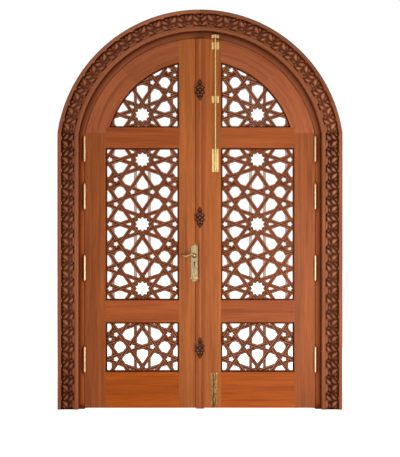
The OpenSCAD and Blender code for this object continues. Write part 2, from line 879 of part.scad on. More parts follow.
// The latch's nose is bevelled on the side that meets the strike as the leaf closes
module latch() {
  color(brass) translate([lock_face_x - latch_l, 0, lever_z - latch_h / 2]) linear_extrude(latch_h) polygon([
    [0, -nose_t / 2], [latch_l, -nose_t / 2], [latch_l, 0],
    [latch_l - nose_t / 2, nose_t / 2], [0, nose_t / 2]
  ]);
}

module dead_bolt() {
  color(steel) block(lock_face_x - dead_l, lock_face_x, -nose_t / 2, nose_t / 2,
                     key_z - dead_h / 2, key_z + dead_h / 2);
}

module strike() {
  color(brass) difference() {
    block(strike_x, strike_x + face_t, -face_w / 2, face_w / 2, strike_z, strike_z + strike_h);
    nose_windows(1);
  }
}

// Surface bolts

module rod(x, z0, z1, knob_z) {
  color(brass) translate([x, rod_y, 0]) {
    translate([0, 0, z0]) cylinder(d = rod_d, h = z1 - z0);
    translate([0, 0, knob_z]) rotate([90, 0, 0]) {
      cylinder(d = knob_d * 0.6, h = knob_d);
      translate([0, 0, knob_d * 0.7]) cylinder(d = knob_d, h = knob_d * 0.6);
    }
  }
}

// Plate on the leaf's face with saddles over the rod, each given by its lower end and its length
module bolt_plate(x, w, z, h, saddles) {
  color(dull_brass) difference() {
    union() {
      block(x - w / 2, x + w / 2, leaf_front - bolt_plate_t, leaf_front, z, z + h);
      for (s = saddles) {
        translate([x, rod_y, s[0]]) cylinder(r = saddle_r, h = s[1]);
        block(x - saddle_r, x + saddle_r, rod_y, leaf_front, s[0], s[0] + s[1]);
      }
    }
    translate([x, rod_y, z - 1]) cylinder(d = rod_d + 2 * slide_fit, h = h + 2);
  }
}

module top_bolt_rod() {
  rod(top_bolt_x, top_plate_z + 10, top_rod_z, top_plate_z + 50);
}

module top_bolt_plate() {
  bolt_plate(top_bolt_x, bolt_plate_w, top_plate_z, top_plate_h, [
    [top_plate_z + 4, 24], [top_plate_z + top_plate_h - 28, 24]
  ]);
}

module top_bolt_guides() {
  for (drop = guide_drops) let (z = keeper_z - drop)
    bolt_plate(top_bolt_x, guide_w, z - guide_h / 2, guide_h, [[z - guide_h / 2 + 4, guide_h - 8]]);
}

module top_bolt_keeper() {
  bolt_plate(top_bolt_x, guide_w, keeper_z, keeper_h, [[keeper_z, keeper_h]]);
}

module bottom_bolt_rod() {
  rod(bottom_bolt_x, bottom_rod_z, bottom_plate_z + bottom_plate_h - 12, bottom_plate_z + bottom_plate_h / 2);
}

module bottom_bolt_plate() {
  bolt_plate(bottom_bolt_x, bolt_plate_w, bottom_plate_z, bottom_plate_h, [
    [bottom_plate_z + 3, guide_h], [bottom_plate_z + bottom_plate_h - guide_h, guide_h - 4]
  ]);
}

// Hinges

// Half a hinge: a let-in plate with every other knuckle, starting from the given one
module hinge_half(x0, first) {
  difference() {
    union() {
      block(x0, x0 + hinge_plate_t, leaf_front, leaf_front + hinge_plate_d, -knuckles_l / 2, knuckles_l / 2);
      for (k = [first : 2 : knuckles - 1])
        translate([0, 0, k * knuckle_l - knuckles_l / 2 + knuckle_gap / 2]) {
          block(x0, x0 + hinge_plate_t, hinge_y, leaf_front, 0, knuckle_l - knuckle_gap);
          translate([hinge_x, hinge_y, 0]) cylinder(d = knuckle_d, h = knuckle_l - knuckle_gap);
        }
    }
    translate([hinge_x, hinge_y, -knuckles_l]) cylinder(d = pin_d + 2 * turn_fit, h = 2 * knuckles_l);
  }
}

module hinge_frame_plates() {
  color(brass) for (z = hinge_zs) translate([0, 0, z]) hinge_half(jamb_half, 0);
}

module hinge_leaf_plates() {
  color(brass) for (z = hinge_zs) translate([0, 0, z]) hinge_half(leaf_half - hinge_plate_t, 1);
}

// Pin with a turned finial at each end
module hinge_pins() {
  tip = knuckles_l / 2;
  color(brass) for (z = hinge_zs) translate([hinge_x, hinge_y, z]) rotate_extrude() {
    polygon([
      [0, -tip - 8], [pin_d * 0.5, -tip - 7], [pin_d * 0.85, -tip - 4], [pin_d * 0.95, -tip],
      [pin_d / 2, -tip], [pin_d / 2, tip],
      [pin_d * 0.95, tip], [pin_d * 0.85, tip + 4], [pin_d * 0.5, tip + 7], [0, tip + 8]
    ]);
  }
}

on_left() jamb();  // left_jamb
jamb();  // right_jamb
on_left() head();  // left_head
head();  // right_head
on_left() straight_architrave();  // left_architrave
straight_architrave();  // right_architrave
on_left() arch_architrave();  // left_arch_architrave
arch_architrave();  // right_arch_architrave
on_left() straight_band();  // left_carved_band
straight_band();  // right_carved_band
on_left() arch_band();  // left_arch_carved_band
arch_band();  // right_arch_carved_band
on_left() hinge_stile();  // left_hinge_stile
left_meeting_stile();
on_left() bottom_rail();  // left_bottom_rail
on_left() lock_rail();  // left_lock_rail
on_left() upper_rail();  // left_upper_rail
on_left() haunch_rail();  // left_haunch_rail
on_left() crown_rail();  // left_crown_rail
on_left() lower_lattice();  // left_lower_lattice
on_left() middle_lattice();  // left_middle_lattice
on_left() upper_lattice();  // left_upper_lattice
hinge_stile();  // right_hinge_stile
right_meeting_stile();
bottom_rail();  // right_bottom_rail
lock_rail();  // right_lock_rail
upper_rail();  // right_upper_rail
haunch_rail();  // right_haunch_rail
crown_rail();  // right_crown_rail
lower_lattice();  // right_lower_lattice
middle_lattice();  // right_middle_lattice
upper_lattice();  // right_upper_lattice
cover_strip();
backplate();  // front_backplate
on_back() backplate();  // back_backplate
lever();  // front_lever
on_back() lever();  // back_lever
spindle();
lock_case();
latch();
dead_bolt();
strike();
top_bolt_rod();
top_bolt_plate();
top_bolt_guides();
top_bolt_keeper();
bottom_bolt_rod();
bottom_bolt_plate();
on_left() hinge_frame_plates();  // left_hinge_frame_plates
on_left() hinge_leaf_plates();  // left_hinge_leaf_plates
on_left() hinge_pins();  // left_hinge_pins
hinge_frame_plates();  // right_hinge_frame_plates
hinge_leaf_plates();  // right_hinge_leaf_plates
hinge_pins();  // right_hinge_pins
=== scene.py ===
import math
import random
from collections import namedtuple

import bpy
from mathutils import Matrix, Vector


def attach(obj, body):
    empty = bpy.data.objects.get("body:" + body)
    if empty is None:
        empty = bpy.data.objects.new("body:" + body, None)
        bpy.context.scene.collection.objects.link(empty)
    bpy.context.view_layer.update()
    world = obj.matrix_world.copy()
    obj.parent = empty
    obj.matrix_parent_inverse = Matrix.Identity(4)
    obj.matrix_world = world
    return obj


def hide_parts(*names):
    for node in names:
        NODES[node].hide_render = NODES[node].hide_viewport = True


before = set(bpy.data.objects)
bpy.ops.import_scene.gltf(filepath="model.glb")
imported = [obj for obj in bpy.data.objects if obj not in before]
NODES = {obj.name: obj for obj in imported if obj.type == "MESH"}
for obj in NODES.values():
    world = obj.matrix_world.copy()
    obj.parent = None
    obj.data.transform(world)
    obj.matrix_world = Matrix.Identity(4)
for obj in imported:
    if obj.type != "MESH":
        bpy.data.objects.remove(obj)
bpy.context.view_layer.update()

SIDES = (("left", -1), ("right", 1))
TINY, PARALLEL = 1e-6, 1e-9
random.seed(7)

# Sizes repeated from the part's source, in metres

LEAF_FRONT = -0.025
LEAF_ARCH_Z = 1.699

# Architrave, with distances across it measured inwards from its outer edge
ARCH_Z = 1.707
OUTER_HALF, OUTER_R = 0.950, 0.960
SPRING_Z = ARCH_Z + math.sqrt(OUTER_R ** 2 - OUTER_HALF ** 2)
ARCHITRAVE_W, OUTER_FILLET, INNER_FILLET = 0.139, 0.024, 0.027

# Carved band in the architrave's channel
BAND_W = ARCHITRAVE_W - OUTER_FILLET - INNER_FILLET
BAND_BACK, BAND_FACE = LEAF_FRONT - 0.018, LEAF_FRONT - 0.023
BAND_PLAY = 0.0003
REPEAT_L = 0.108
BLADE_W, BLADE_H = 0.026, 0.010

# Lattice
PITCH = 0.432
STRAP_W, UPRIGHT_W = 0.026, 0.020
SQUEEZE = 0.957
STAR_TIP, STAR_NOTCH = 0.050, 0.037
KNOT_TIP, KNOT_NOTCH = 0.020, 0.0105
LATTICE_HALF = 0.010
BORDER = 0.010
PANEL_IN, PANEL_OUT = 0.141, 0.631
PANEL_X, PANEL_HALF = (PANEL_IN + PANEL_OUT) / 2, (PANEL_OUT - PANEL_IN) / 2
LOWER_Z0, LOWER_Z1 = 0.248, 0.580
MIDDLE_Z0, MIDDLE_Z1 = 0.727, 1.746
UPPER_Z0, UPPER_Z1, UPPER_STAR_Z = 1.883, 2.334, 1.970
OPEN_R = 0.635

# Cover strip and its bosses
STRIP_HALF, STRIP_T, STRIP_REED = 0.028, 0.014, 0.01008
STRIP_FOOT, STRIP_TOP = 0.004, 2.4755
BOSS_W, BOSS_H, BOSS_FACE, BOSS_SUNK = 0.072, 0.152, 0.018, 0.0035
BOSS_ZS = (0.410, 1.281, 2.133)

# Backplates, levers and bolts
PLATE_Z0, PLATE_Z1, PLATE_NOTCH_X = 0.8505, 1.108, -0.0059
PLATE_SCREW_ZS = (1.084, 0.876)
LEVER_X, LEVER_Z, KEY_Z = -0.0379, 1.027, 0.97
BOLT_PLATE_FACE = LEAF_FRONT - 0.0025
TOP_BOLT_X, BOTTOM_BOLT_X = 0.103, 0.095
GUIDE_ZS, KEEPER_Z = (2.428, 2.070), 2.491
HINGE_ZS = (0.330, 0.943, 1.421, 1.739)


def srgb(r, g, b):
    """Linear colour of an sRGB one given as 0 to 255."""
    out = []
    for c in (r, g, b):
        c /= 255
        out.append(c / 12.92 if c <= 0.04045 else ((c + 0.055) / 1.055) ** 2.4)
    return (*out, 1)


# Material nodes


def new_material(name):
    mat = bpy.data.materials.new(name)
    mat.use_nodes = True
    tree = mat.node_tree
    return mat, tree, tree.nodes["Principled BSDF"]


def add_node(tree, kind, **inputs):
    """A node with its inputs set; an underscore in a name stands for a space."""
    node = tree.nodes.new(kind)
    for key, value in inputs.items():
        node.inputs[key.replace("_", " ")].default_value = value
    return node


def feed(tree, socket, value):
    """Set a socket to a constant, or link it to another node's output."""
    if isinstance(value, (int, float, tuple)):
        socket.default_value = value
    else:
        tree.links.new(value, socket)


def math_node(tree, op, *values):
    node = tree.nodes.new("ShaderNodeMath")
    node.operation = op
    for socket, value in zip(node.inputs, values):
        feed(tree, socket, value)
    return node.outputs[0]


def mix_colour(tree, factor, a, b, blend="MIX"):
    node = tree.nodes.new("ShaderNodeMix")
    node.data_type = "RGBA"
    node.blend_type = blend
    for i, value in ((0, factor), (6, a), (7, b)):
        feed(tree, node.inputs[i], value)
    return node.outputs[2]


def ramp(tree, value, stops):
    """Grey level from a value, by (value, level) stops."""
    node = tree.nodes.new("ShaderNodeValToRGB")
    while len(node.color_ramp.elements) < len(stops):
        node.color_ramp.elements.new(0.5)
    for element, (pos, level) in zip(node.color_ramp.elements, stops):
        element.position = pos
        element.color = (level, level, level, 1)
    tree.links.new(value, node.inputs[0])
    return node.outputs[0]


def map_range(tree, value, **ends):
    node = add_node(tree, "ShaderNodeMapRange", **ends)
    tree.links.new(value, node.inputs["Value"])
    return node.outputs[0]


def bump(tree, shader, height, strength, distance):
    node = add_node(tree, "ShaderNodeBump", Strength=strength, Distance=distance)
    tree.links.new(height, node.inputs["Height"])
    tree.links.new(node.outputs[0], shader.inputs["Normal"])


def occlusion(tree, reach, samples):
    node = add_node(tree, "ShaderNodeAmbientOcclusion", Distance=reach)
    node.samples = samples
    return node.outputs["AO"]


def object_coords(tree):
    return tree.nodes.new("ShaderNodeTexCoord").outputs["Object"]


def object_xyz(tree):
    split = tree.nodes.new("ShaderNodeSeparateXYZ")
    tree.links.new(object_coords(tree), split.inputs[0])
    return split.outputs


def grain_coords(tree, grain, offset):
    """Coordinates whose Z runs along the grain: up, across, or round the arch."""
    x, y, z = object_xyz(tree)
    if grain == "arc":
        mean_r = 0.8
        up = math_node(tree, "SUBTRACT", z, LEAF_ARCH_Z)
        square = math_node(tree, "ADD", math_node(tree, "MULTIPLY", x, x),
                           math_node(tree, "MULTIPLY", up, up))
        turn = math_node(tree, "ARCTAN2", up, x)
        parts = (math_node(tree, "SQRT", square), y, math_node(tree, "MULTIPLY", turn, mean_r))
    elif grain == "x":
        parts = (z, y, x)
    else:
        parts = (x, y, z)
    join = tree.nodes.new("ShaderNodeCombineXYZ")
    for socket, part in zip(join.inputs, parts):
        tree.links.new(part, socket)
    shift = tree.nodes.new("ShaderNodeVectorMath")
    shift.operation = "ADD"
    shift.inputs[1].default_value = offset
    tree.links.new(join.outputs[0], shift.inputs[0])
    return shift.outputs[0]


# Noise as cycles a metre in X, Y and Z, detail, roughness and distortion
STREAKS = ((62, 62, 2.1), 7, 0.62, 0.35)
DRIFT = ((7, 7, 0.55), 3, 0.5, 0.8)
PORES = ((520, 520, 11), 3, 0.55, 0)
TARNISH = ((70, 70, 45), 5, 0.6, 0.4)
RUBBING = ((900, 900, 160), 2, 0.5, 0)


def noise(tree, coords, cycles, detail, rough, distortion):
    mapping = tree.nodes.new("ShaderNodeMapping")
    mapping.inputs["Scale"].default_value = cycles
    tree.links.new(coords, mapping.inputs["Vector"])
    node = add_node(tree, "ShaderNodeTexNoise", Scale=1, Detail=detail, Roughness=rough,
                    Distortion=distortion)
    tree.links.new(mapping.outputs[0], node.inputs["Vector"])
    return node.outputs["Fac"]


# Materials

# How far the painted shade of the hollows reaches, its ramp from hollow to open, roughness and
# gloss
Finish = namedtuple("Finish", "reach hollow rough gloss",
                    defaults=(0.012, ((0.25, 0.35), (0.85, 1)), 0.42, 0.09))
BOARD = Finish()
MOULDING = Finish(reach=0.02)
# STEP paints a strong shadow on the jamb and head beside the architrave's step
STEP = Finish(0.05, ((0.62, 0), (0.81, 0.45), (0.96, 1)), 0.5, 0.04)
CARVING = Finish(0.015, ((0.25, 0.25), (0.7, 1)), 0.4, 0.06)
BOSS_CARVING = Finish(0.009, ((0.25, 0.2), (0.75, 1)), 0.4, 0.08)
# STRAPWORK's long reach paints the rails' shadow on the lattice's edges
STRAPWORK = Finish(0.03, ((0.35, 0.1), (0.8, 1)), 0.44, 0.04)
BEAD = Finish(reach=0.008)
GLARE = Finish(reach=0.008, hollow=((0.2, 0.5), (0.7, 1)))

# Share of each colour left under the painted shade of a deep hollow of the wood
HOLLOW_PAINTED_SHADE = (0.26, 0.17, 0.1, 1)
GRAIN_SHIFT = 9


def wood(name, colours, grain="z", finish=BOARD, relief=None):
    """Stained hardwood: broad colour drift, streaks, pores, and painted shade in the hollows.

    colours are the light and the dark one, and relief is (y of the ground, y of the crests,
    colour of the painted highlight on the crests) for carved wood, whose ground gets painted
    shade.
    """
    light, dark = colours
    mat, tree, shader = new_material(name)
    seed = random.Random(name)
    offset = tuple(seed.uniform(-GRAIN_SHIFT, GRAIN_SHIFT) for _ in range(3))
    coords = grain_coords(tree, grain, offset)
    streaks = noise(tree, coords, *STREAKS)
    drift = noise(tree, coords, *DRIFT)
    pores = noise(tree, coords, *PORES)
    share = math_node(tree, "ADD", math_node(tree, "MULTIPLY", streaks, 0.6),
                      math_node(tree, "MULTIPLY", drift, 0.4))
    colour = mix_colour(tree, ramp(tree, share, ((0.34, 0), (0.5, 0.55), (0.66, 1))), dark, light)
    pore_mark = ramp(tree, pores, ((0.3, 0.72), (0.47, 1)))
    colour = mix_colour(tree, 1, colour, pore_mark, "MULTIPLY")
    # Carved wood: painted shade darkens the ground between the leaves, and a painted highlight
    # lightens the crests in patches
    if relief:
        ground, crest, crest_highlight = relief
        level = map_range(tree, object_xyz(tree)[1], From_Min=ground, From_Max=crest)
        painted_ground_shade = ramp(tree, level, ((0, 0.42), (0.3, 1)))
        colour = mix_colour(tree, 1, colour, painted_ground_shade, "MULTIPLY")
        crest_highlight_mask = math_node(tree, "MULTIPLY", ramp(tree, level, ((0.5, 0), (0.85, 1))),
                         ramp(tree, drift, ((0.35, 0.35), (0.6, 1))))
        colour = mix_colour(tree, crest_highlight_mask, colour, crest_highlight)
    # Painted shade: the colour is darkened where occlusion finds a hollow
    painted_shade_colour = mix_colour(tree, 1, colour, HOLLOW_PAINTED_SHADE, "MULTIPLY")
    in_open = ramp(tree, occlusion(tree, finish.reach, 8), finish.hollow)
    tree.links.new(mix_colour(tree, in_open, painted_shade_colour, colour), shader.inputs["Base Color"])
    rough = map_range(tree, share, To_Min=finish.rough - 0.08, To_Max=finish.rough + 0.14)
    tree.links.new(rough, shader.inputs["Roughness"])
    height = math_node(tree, "ADD", pores, math_node(tree, "MULTIPLY", streaks, 1.4))
    bump(tree, shader, height, 0.22, 0.0008)
    shader.inputs["Specular IOR Level"].default_value = finish.gloss
    return mat


def metal(name, bright, tarnish, rough=0.26, spread=0.16, amount=0.5):
    """Brass or steel with patchy tarnish, fine rubbing marks, uneven gloss and painted shade in
    the crevices.
    """
    mat, tree, shader = new_material(name)
    coords = object_coords(tree)
    patches = noise(tree, coords, *TARNISH)
    cover = ramp(tree, patches, ((0.38, 0), (0.7, amount)))
    # Painted shade: the colour is darkened where occlusion finds a crevice
    in_open = ramp(tree, occlusion(tree, 0.006, 4), ((0.2, 0.35), (0.8, 1)))
    colour = mix_colour(tree, cover, bright, tarnish)
    colour = mix_colour(tree, 1, colour, in_open, "MULTIPLY")
    tree.links.new(colour, shader.inputs["Base Color"])
    shader.inputs["Metallic"].default_value = 1
    uneven = map_range(tree, patches, To_Min=rough, To_Max=rough + spread)
    tree.links.new(uneven, shader.inputs["Roughness"])
    bump(tree, shader, noise(tree, coords, *RUBBING), 0.12, 0.0003)
    return mat


BRASS = metal("polished_brass", srgb(214, 178, 136), srgb(162, 120, 78))
PLATE_BRASS = metal("aged_brass", srgb(149, 133, 99), srgb(88, 78, 54), 0.34, 0.2, 0.8)
BOLT_BRASS = metal("bolt_brass", srgb(226, 194, 130), srgb(150, 116, 64), 0.3, 0.18, 0.5)
DULL_BRASS = metal("dull_bolt_brass", srgb(154, 120, 72), srgb(78, 55, 28), 0.3, 0.18, 1)
LEVER_BRASS = metal("lever_brass", srgb(196, 172, 120), srgb(120, 100, 62), 0.28, 0.16, 0.6)
STEEL = metal("brushed_steel", srgb(172, 170, 166), srgb(116, 114, 110), 0.36, 0.16, 0.5)
# Dark metal of the keyhole piece: painted shade
KEYHOLE_PAINTED_SHADE = metal("dark_steel", srgb(70, 67, 63), srgb(36, 33, 30), 0.4, 0.2, 0.5)

# Metals by a part of the node's name; every other metal piece is polished brass
METALS = {
    "spindle": STEEL,
    "lock_case": STEEL,
    "dead_bolt": STEEL,
    "backplate": PLATE_BRASS,
    "bottom_bolt": DULL_BRASS,
    "top_bolt": BOLT_BRASS,
}

STILE = (srgb(184, 101, 52), srgb(133, 68, 33))
MEETING_STILE = (srgb(202, 115, 58), srgb(150, 82, 40))
ARCH_RAIL = (srgb(190, 107, 66), srgb(138, 73, 43))
UPPER_RAIL = (srgb(184, 97, 49), srgb(134, 65, 31))
LOCK_RAIL = (srgb(187, 98, 49), srgb(137, 66, 31))
BOTTOM_RAIL = (srgb(195, 97, 28), srgb(143, 65, 16))
STRIP = (srgb(182, 102, 55), srgb(152, 82, 44))
ARCHITRAVE = (srgb(184, 111, 73), srgb(135, 75, 46))
HEAD = (srgb(168, 98, 65), srgb(124, 66, 40))
JAMB = (srgb(190, 106, 54), srgb(140, 71, 32))
BAND = (srgb(158, 90, 59), srgb(116, 61, 37))
# Painted highlight on the crests of the carved band
BAND_CREST_HIGHLIGHT = srgb(216, 152, 120)
LATTICE = (srgb(142, 70, 32), srgb(96, 43, 16))
# Beads on the straps are lighter than the straps: painted highlight
BEAD_HIGHLIGHT = (srgb(204, 142, 110), srgb(146, 86, 58))
MIDDLE_BEAD_HIGHLIGHT = (srgb(196, 126, 90), srgb(140, 80, 50))
# Pale colour of the middle panels' uprights: painted highlight
UPRIGHT = (srgb(206, 178, 164), srgb(182, 148, 134))
# Boss carving: its dark colour is painted shade of the deep carving, and its crests get a painted
# highlight
BOSS = (srgb(110, 50, 28), srgb(64, 26, 13))
BOSS_CREST_HIGHLIGHT = srgb(182, 128, 108)
# Dark strip behind the gap between the leaves: painted shade
GAP_SHADE = (srgb(74, 36, 20), srgb(50, 24, 13))

# Woods by the ending of the node's name, the first that fits
WOODS = {
    "hinge_stile": (STILE, "z", BOARD),
    "meeting_stile": (MEETING_STILE, "z", BOARD),
    "haunch_rail": (ARCH_RAIL, "arc", BOARD),
    "crown_rail": (ARCH_RAIL, "arc", BOARD),
    "upper_rail": (UPPER_RAIL, "x", BOARD),
    "lock_rail": (LOCK_RAIL, "x", BOARD),
    "bottom_rail": (BOTTOM_RAIL, "x", BOARD),
    "cover_strip": (STRIP, "z", BOARD),
    "lattice": (LATTICE, "z", STRAPWORK),
    "head": (HEAD, "arc", STEP),
    "jamb": (JAMB, "z", STEP),
    "arch_architrave": (ARCHITRAVE, "arc", MOULDING),
    "architrave": (ARCHITRAVE, "z", MOULDING),
    "arch_carved_band": (BAND, "arc", CARVING),
    "carved_band": (BAND, "z", CARVING),
}

# Boards lighter or darker than their kind: partly their own tone, partly painted light and shade
# where one side, the crown and the jambs catch more or less light
BOARD_TONE_AND_LIGHT = {
    "right_architrave": 0.86,
    "right_arch_architrave": 0.86,
    "left_arch_architrave": 1.05,
    "right_carved_band": 0.78,
    "left_arch_carved_band": 1.2,
    "right_arch_carved_band": 1.15,
    "left_jamb": 1.2,
    "right_jamb": 0.82,
    "left_lower_lattice": 0.58,
    "right_lower_lattice": 0.5,
    "left_middle_lattice": 0.7,
    "right_middle_lattice": 0.66,
    "left_upper_lattice": 0.64,
    "right_upper_lattice": 0.68,
    "left_hinge_stile": 0.92,
    "right_hinge_stile": 0.9,
    "left_meeting_stile": 0.91,
    "right_meeting_stile": 0.9,
    "cover_strip": 1.05,
}


def shaded(colours, share):
    return tuple((*(channel * share for channel in colour[:3]), 1) for colour in colours)


def node_material(node):
    for ending, (colours, grain, finish) in WOODS.items():
        if node.endswith(ending):
            relief = (BAND_FACE, BAND_FACE - BLADE_H, BAND_CREST_HIGHLIGHT) if finish is CARVING else None
            return wood(node, shaded(colours, BOARD_TONE_AND_LIGHT.get(node, 1)), grain, finish, relief)
    for part, material in METALS.items():
        if part in node:
            return material
    return BRASS


def dress_nodes():
    for node, obj in NODES.items():
        material = node_material(node)
        obj.data.materials.clear()
        obj.data.materials.append(material)


# Mesh helpers


def piece(name, mesh, material, body, smooth=False):
    """A new object from gathered shapes, riding on a body."""
    data = bpy.data.meshes.new(name)
    data.from_pydata([tuple(v) for v in mesh.verts], [], mesh.faces)
    data.validate()
    data.update()
    if smooth:
        data.polygons.foreach_set("use_smooth", [True] * len(data.polygons))
    data.materials.append(material)
    obj = bpy.data.objects.new(name, data)
    bpy.context.collection.objects.link(obj)
    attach(obj, body)
    return obj


class Mesh:
    """Vertices and faces gathered from several shapes."""

    def __init__(self):
        self.verts = []
        self.faces = []

    def add(self, verts, faces):
        base = len(self.verts)
        self.verts.extend(verts)
        self.faces.extend([tuple(base + i for i in face) for face in faces])

    def grid(self, rows, closed=False, caps=False):
        """Quads between rows of points, each row optionally closed into a ring."""
        n = len(rows[0])
        faces = []
        for i in range(len(rows) - 1):
            for k in range(n if closed else n - 1):
                j = (k + 1) % n
                faces.append((i * n + k, i * n + j, (i + 1) * n + j, (i + 1) * n + k))
        if caps:
            faces.append(tuple(range(n - 1, -1, -1)))
            faces.append(tuple((len(rows) - 1) * n + k for k in range(n)))
        self.add([p for row in rows for p in row], faces)


# Lattice: raised beads along each strap, woven over and under

Strap = namedtuple("Strap", "start run length width")
Hole = namedtuple("Hole", "centre tips first tip_r notch_r")

STRAP_REACH = PITCH * 1.8
ROWS = range(-2, 3)
# A strap that ends this near to a crossing passes under there; it may end a little short of it
END_NEAR, CROSS_SLACK = 0.015, 0.012
# Steps along a strap that is cut to a panel, slack at the edge, and the least number of steps
CUT_STEP, CUT_SLACK, CUT_LEAST = 0.004, 0.002, 4
BEAD_W, BEAD_H, BEAD_INSET, BEAD_SUNK = 0.005, 0.0024, 0.0032, 0.0008
BEAD_TIP_L, BEAD_TIP_H = 0.0012, 0.0002
# Steps along a bead, the least number of them, and the room left beside and beyond a strap on top
BEAD_STEP, BEAD_LEAST, BEAD_GAP, BEAD_END_GAP = 0.0015, 3, 0.0006, 0.01
# Painted highlight strips on the middle panels' uprights
GLARE_LANES, GLARE_STEP, GLARE_SHARE = 12, 0.001, 0.96
GLARE_SUNK, GLARE_PROUD = 0.0004, 0.0006
GLARE_GAP, GLARE_END_GAP = 0.0004, 0.006


class Panel:
    """A lattice's opening; its points are measured from the middle of one of its stars."""

    def __init__(self, name, low, high, star_z):
        self.name, self.low, self.high, self.star_z = name, low, high, star_z

    def holds(self, p, margin):
        """Whether a point lies in the opening, by so much from its edge."""
        z = p.y + self.star_z
        if abs(p.x) > PANEL_HALF - margin or not self.low + margin < z < self.high - margin:
            return False
        if self.name != "upper_lattice":
            return True
        return math.hypot(p.x + PANEL_X, z - LEAF_ARCH_Z) < OPEN_R - margin


PANELS = (
    Panel("lower_lattice", LOWER_Z0, LOWER_Z1, (LOWER_Z0 + LOWER_Z1 + PITCH) / 2),
    Panel("middle_lattice", MIDDLE_Z0, MIDDLE_Z1, (MIDDLE_Z0 + MIDDLE_Z1) / 2),
    Panel("upper_lattice", UPPER_Z0, UPPER_Z1, UPPER_STAR_Z),
)


def unit(deg):
    return Vector((math.cos(math.radians(deg)), math.sin(math.radians(deg))))


def is_upright(strap):
    return abs(strap.run.x) < TINY


def covers(strap, p, beside, beyond):
    """Whether a point lies on a strap that is so much wider and longer at each edge."""
    d = p - strap.start
    return (abs(strap.run.x * d.y - strap.run.y * d.x) < strap.width / 2 + beside
            and -beyond < d.dot(strap.run) < strap.length + beyond)


def pattern():
    """Straps and holes round the ten-point stars, with each strap's line once."""
    apothem = PITCH / 2
    corner = apothem / math.cos(math.radians(18))
    knot_d = corner * math.sin(math.radians(18)) * math.sin(math.radians(18))
    star_d = corner * math.cos(math.radians(72)) - knot_d
    side_d = apothem * math.cos(math.radians(18))
    knot_r = knot_d / math.cos(math.radians(72))
    found = {}

    def strap(point, deg, before, after, width=STRAP_W):
        a = Vector(point) - before * unit(deg)
        b = Vector(point) + after * unit(deg)
        a = Vector((a.x * SQUEEZE, a.y))
        b = Vector((b.x * SQUEEZE, b.y))
        run = (b - a).normalized()
        if run.x < -TINY:
            a, b, run = b, a, -run
        offset = run.x * a.y - run.y * a.x
        line = (round(math.degrees(math.atan2(run.y, run.x)), 1), round(offset, 3))
        lo, hi = a.dot(run), b.dot(run)
        for old in found.setdefault(line, []):
            if lo < old[2] and hi > old[1]:
                old[1], old[2] = min(lo, old[1]), max(hi, old[2])
                return
        found[line].append([run, lo, hi, offset, width])

    for x in (-side_d, -star_d, star_d, side_d):
        strap((x, 0), 90, STRAP_REACH, STRAP_REACH, UPRIGHT_W)
    knot = Vector((-corner, -PITCH + 2 * corner * math.sin(math.radians(36))))
    outer = star_d * unit(144)
    outer_l = (side_d + outer.x) / math.cos(math.radians(54))
    slanting = [(side * star_d * unit(108), 18, STRAP_REACH, STRAP_REACH) for side in (-1, 1)]
    slanting += [
        ((0, apothem), 18, STRAP_REACH, STRAP_REACH),
        (star_d * unit(324), 54, STRAP_REACH, STRAP_REACH),
        (outer, 54, outer_l, STRAP_REACH),
        (knot + Vector((knot_r, 0)), 18, corner, 0),
        (knot + knot_r * unit(72), 54, corner / 2, 0),
    ]
    for row in ROWS:
        for half in (1, -1):
            for p, deg, before, after in slanting:
                strap((half * p[0], p[1] + row * PITCH), deg if half == 1 else 180 - deg,
                      before, after)
    straps = []
    for line in found.values():
        for run, lo, hi, offset, width in line:
            normal = Vector((-run.y, run.x))
            straps.append(Strap(run * lo + normal * offset, run, hi - lo, width))
    holes = [Hole(Vector((0, row * PITCH)), 10, 18, STAR_TIP, STAR_NOTCH) for row in ROWS]
    for row in ROWS:
        for first in range(0, 360, 36):
            c = corner * unit(first)
            holes.append(Hole(Vector((c.x * SQUEEZE, c.y + row * PITCH)), 5, first,
                              KNOT_TIP, KNOT_NOTCH))
    return straps, holes


def in_hole(p, hole):
    d = p - hole.centre
    r = d.length
    if r > hole.tip_r:
        return False
    if r < hole.notch_r * 0.9:
        return True
    step = math.pi / hole.tips
    turn = (math.atan2(d.y, d.x) - math.radians(hole.first)) % (2 * step)
    turn = min(turn, 2 * step - turn)
    tip = Vector((hole.tip_r, 0))
    notch = hole.notch_r * Vector((math.cos(step), math.sin(step)))
    q = r * Vector((math.cos(turn), math.sin(turn)))
    edge = notch - tip
    return edge.x * (q.y - tip.y) - edge.y * (q.x - tip.x) > 0


def crossings(straps):
    """Which strap is on top at each crossing, where known, and the crossings along each strap."""
    top = {}
    lines = [[] for _ in straps]
    for i, (a, u, la, _) in enumerate(straps):
        for j in range(i + 1, len(straps)):
            b, v, lb, _ = straps[j]
            den = u.x * v.y - u.y * v.x
            if abs(den) < TINY:
                continue
            w = b - a
            s = (w.x * v.y - w.y * v.x) / den
            t = (w.x * u.y - w.y * u.x) / den
            if not (-CROSS_SLACK < s < la + CROSS_SLACK and -CROSS_SLACK < t < lb + CROSS_SLACK):
                continue
            top[(i, j)] = None
            lines[i].append((s, (i, j)))
            lines[j].append((t, (i, j)))
            if is_upright(straps[i]) or is_upright(straps[j]):
                top[(i, j)] = j if is_upright(straps[i]) else i
            elif min(s, la - s) < END_NEAR:
                top[(i, j)] = j
            elif min(t, lb - t) < END_NEAR:
                top[(i, j)] = i
    return top, [[pair for _, pair in sorted(line, key=lambda item: item[0])] for line in lines]


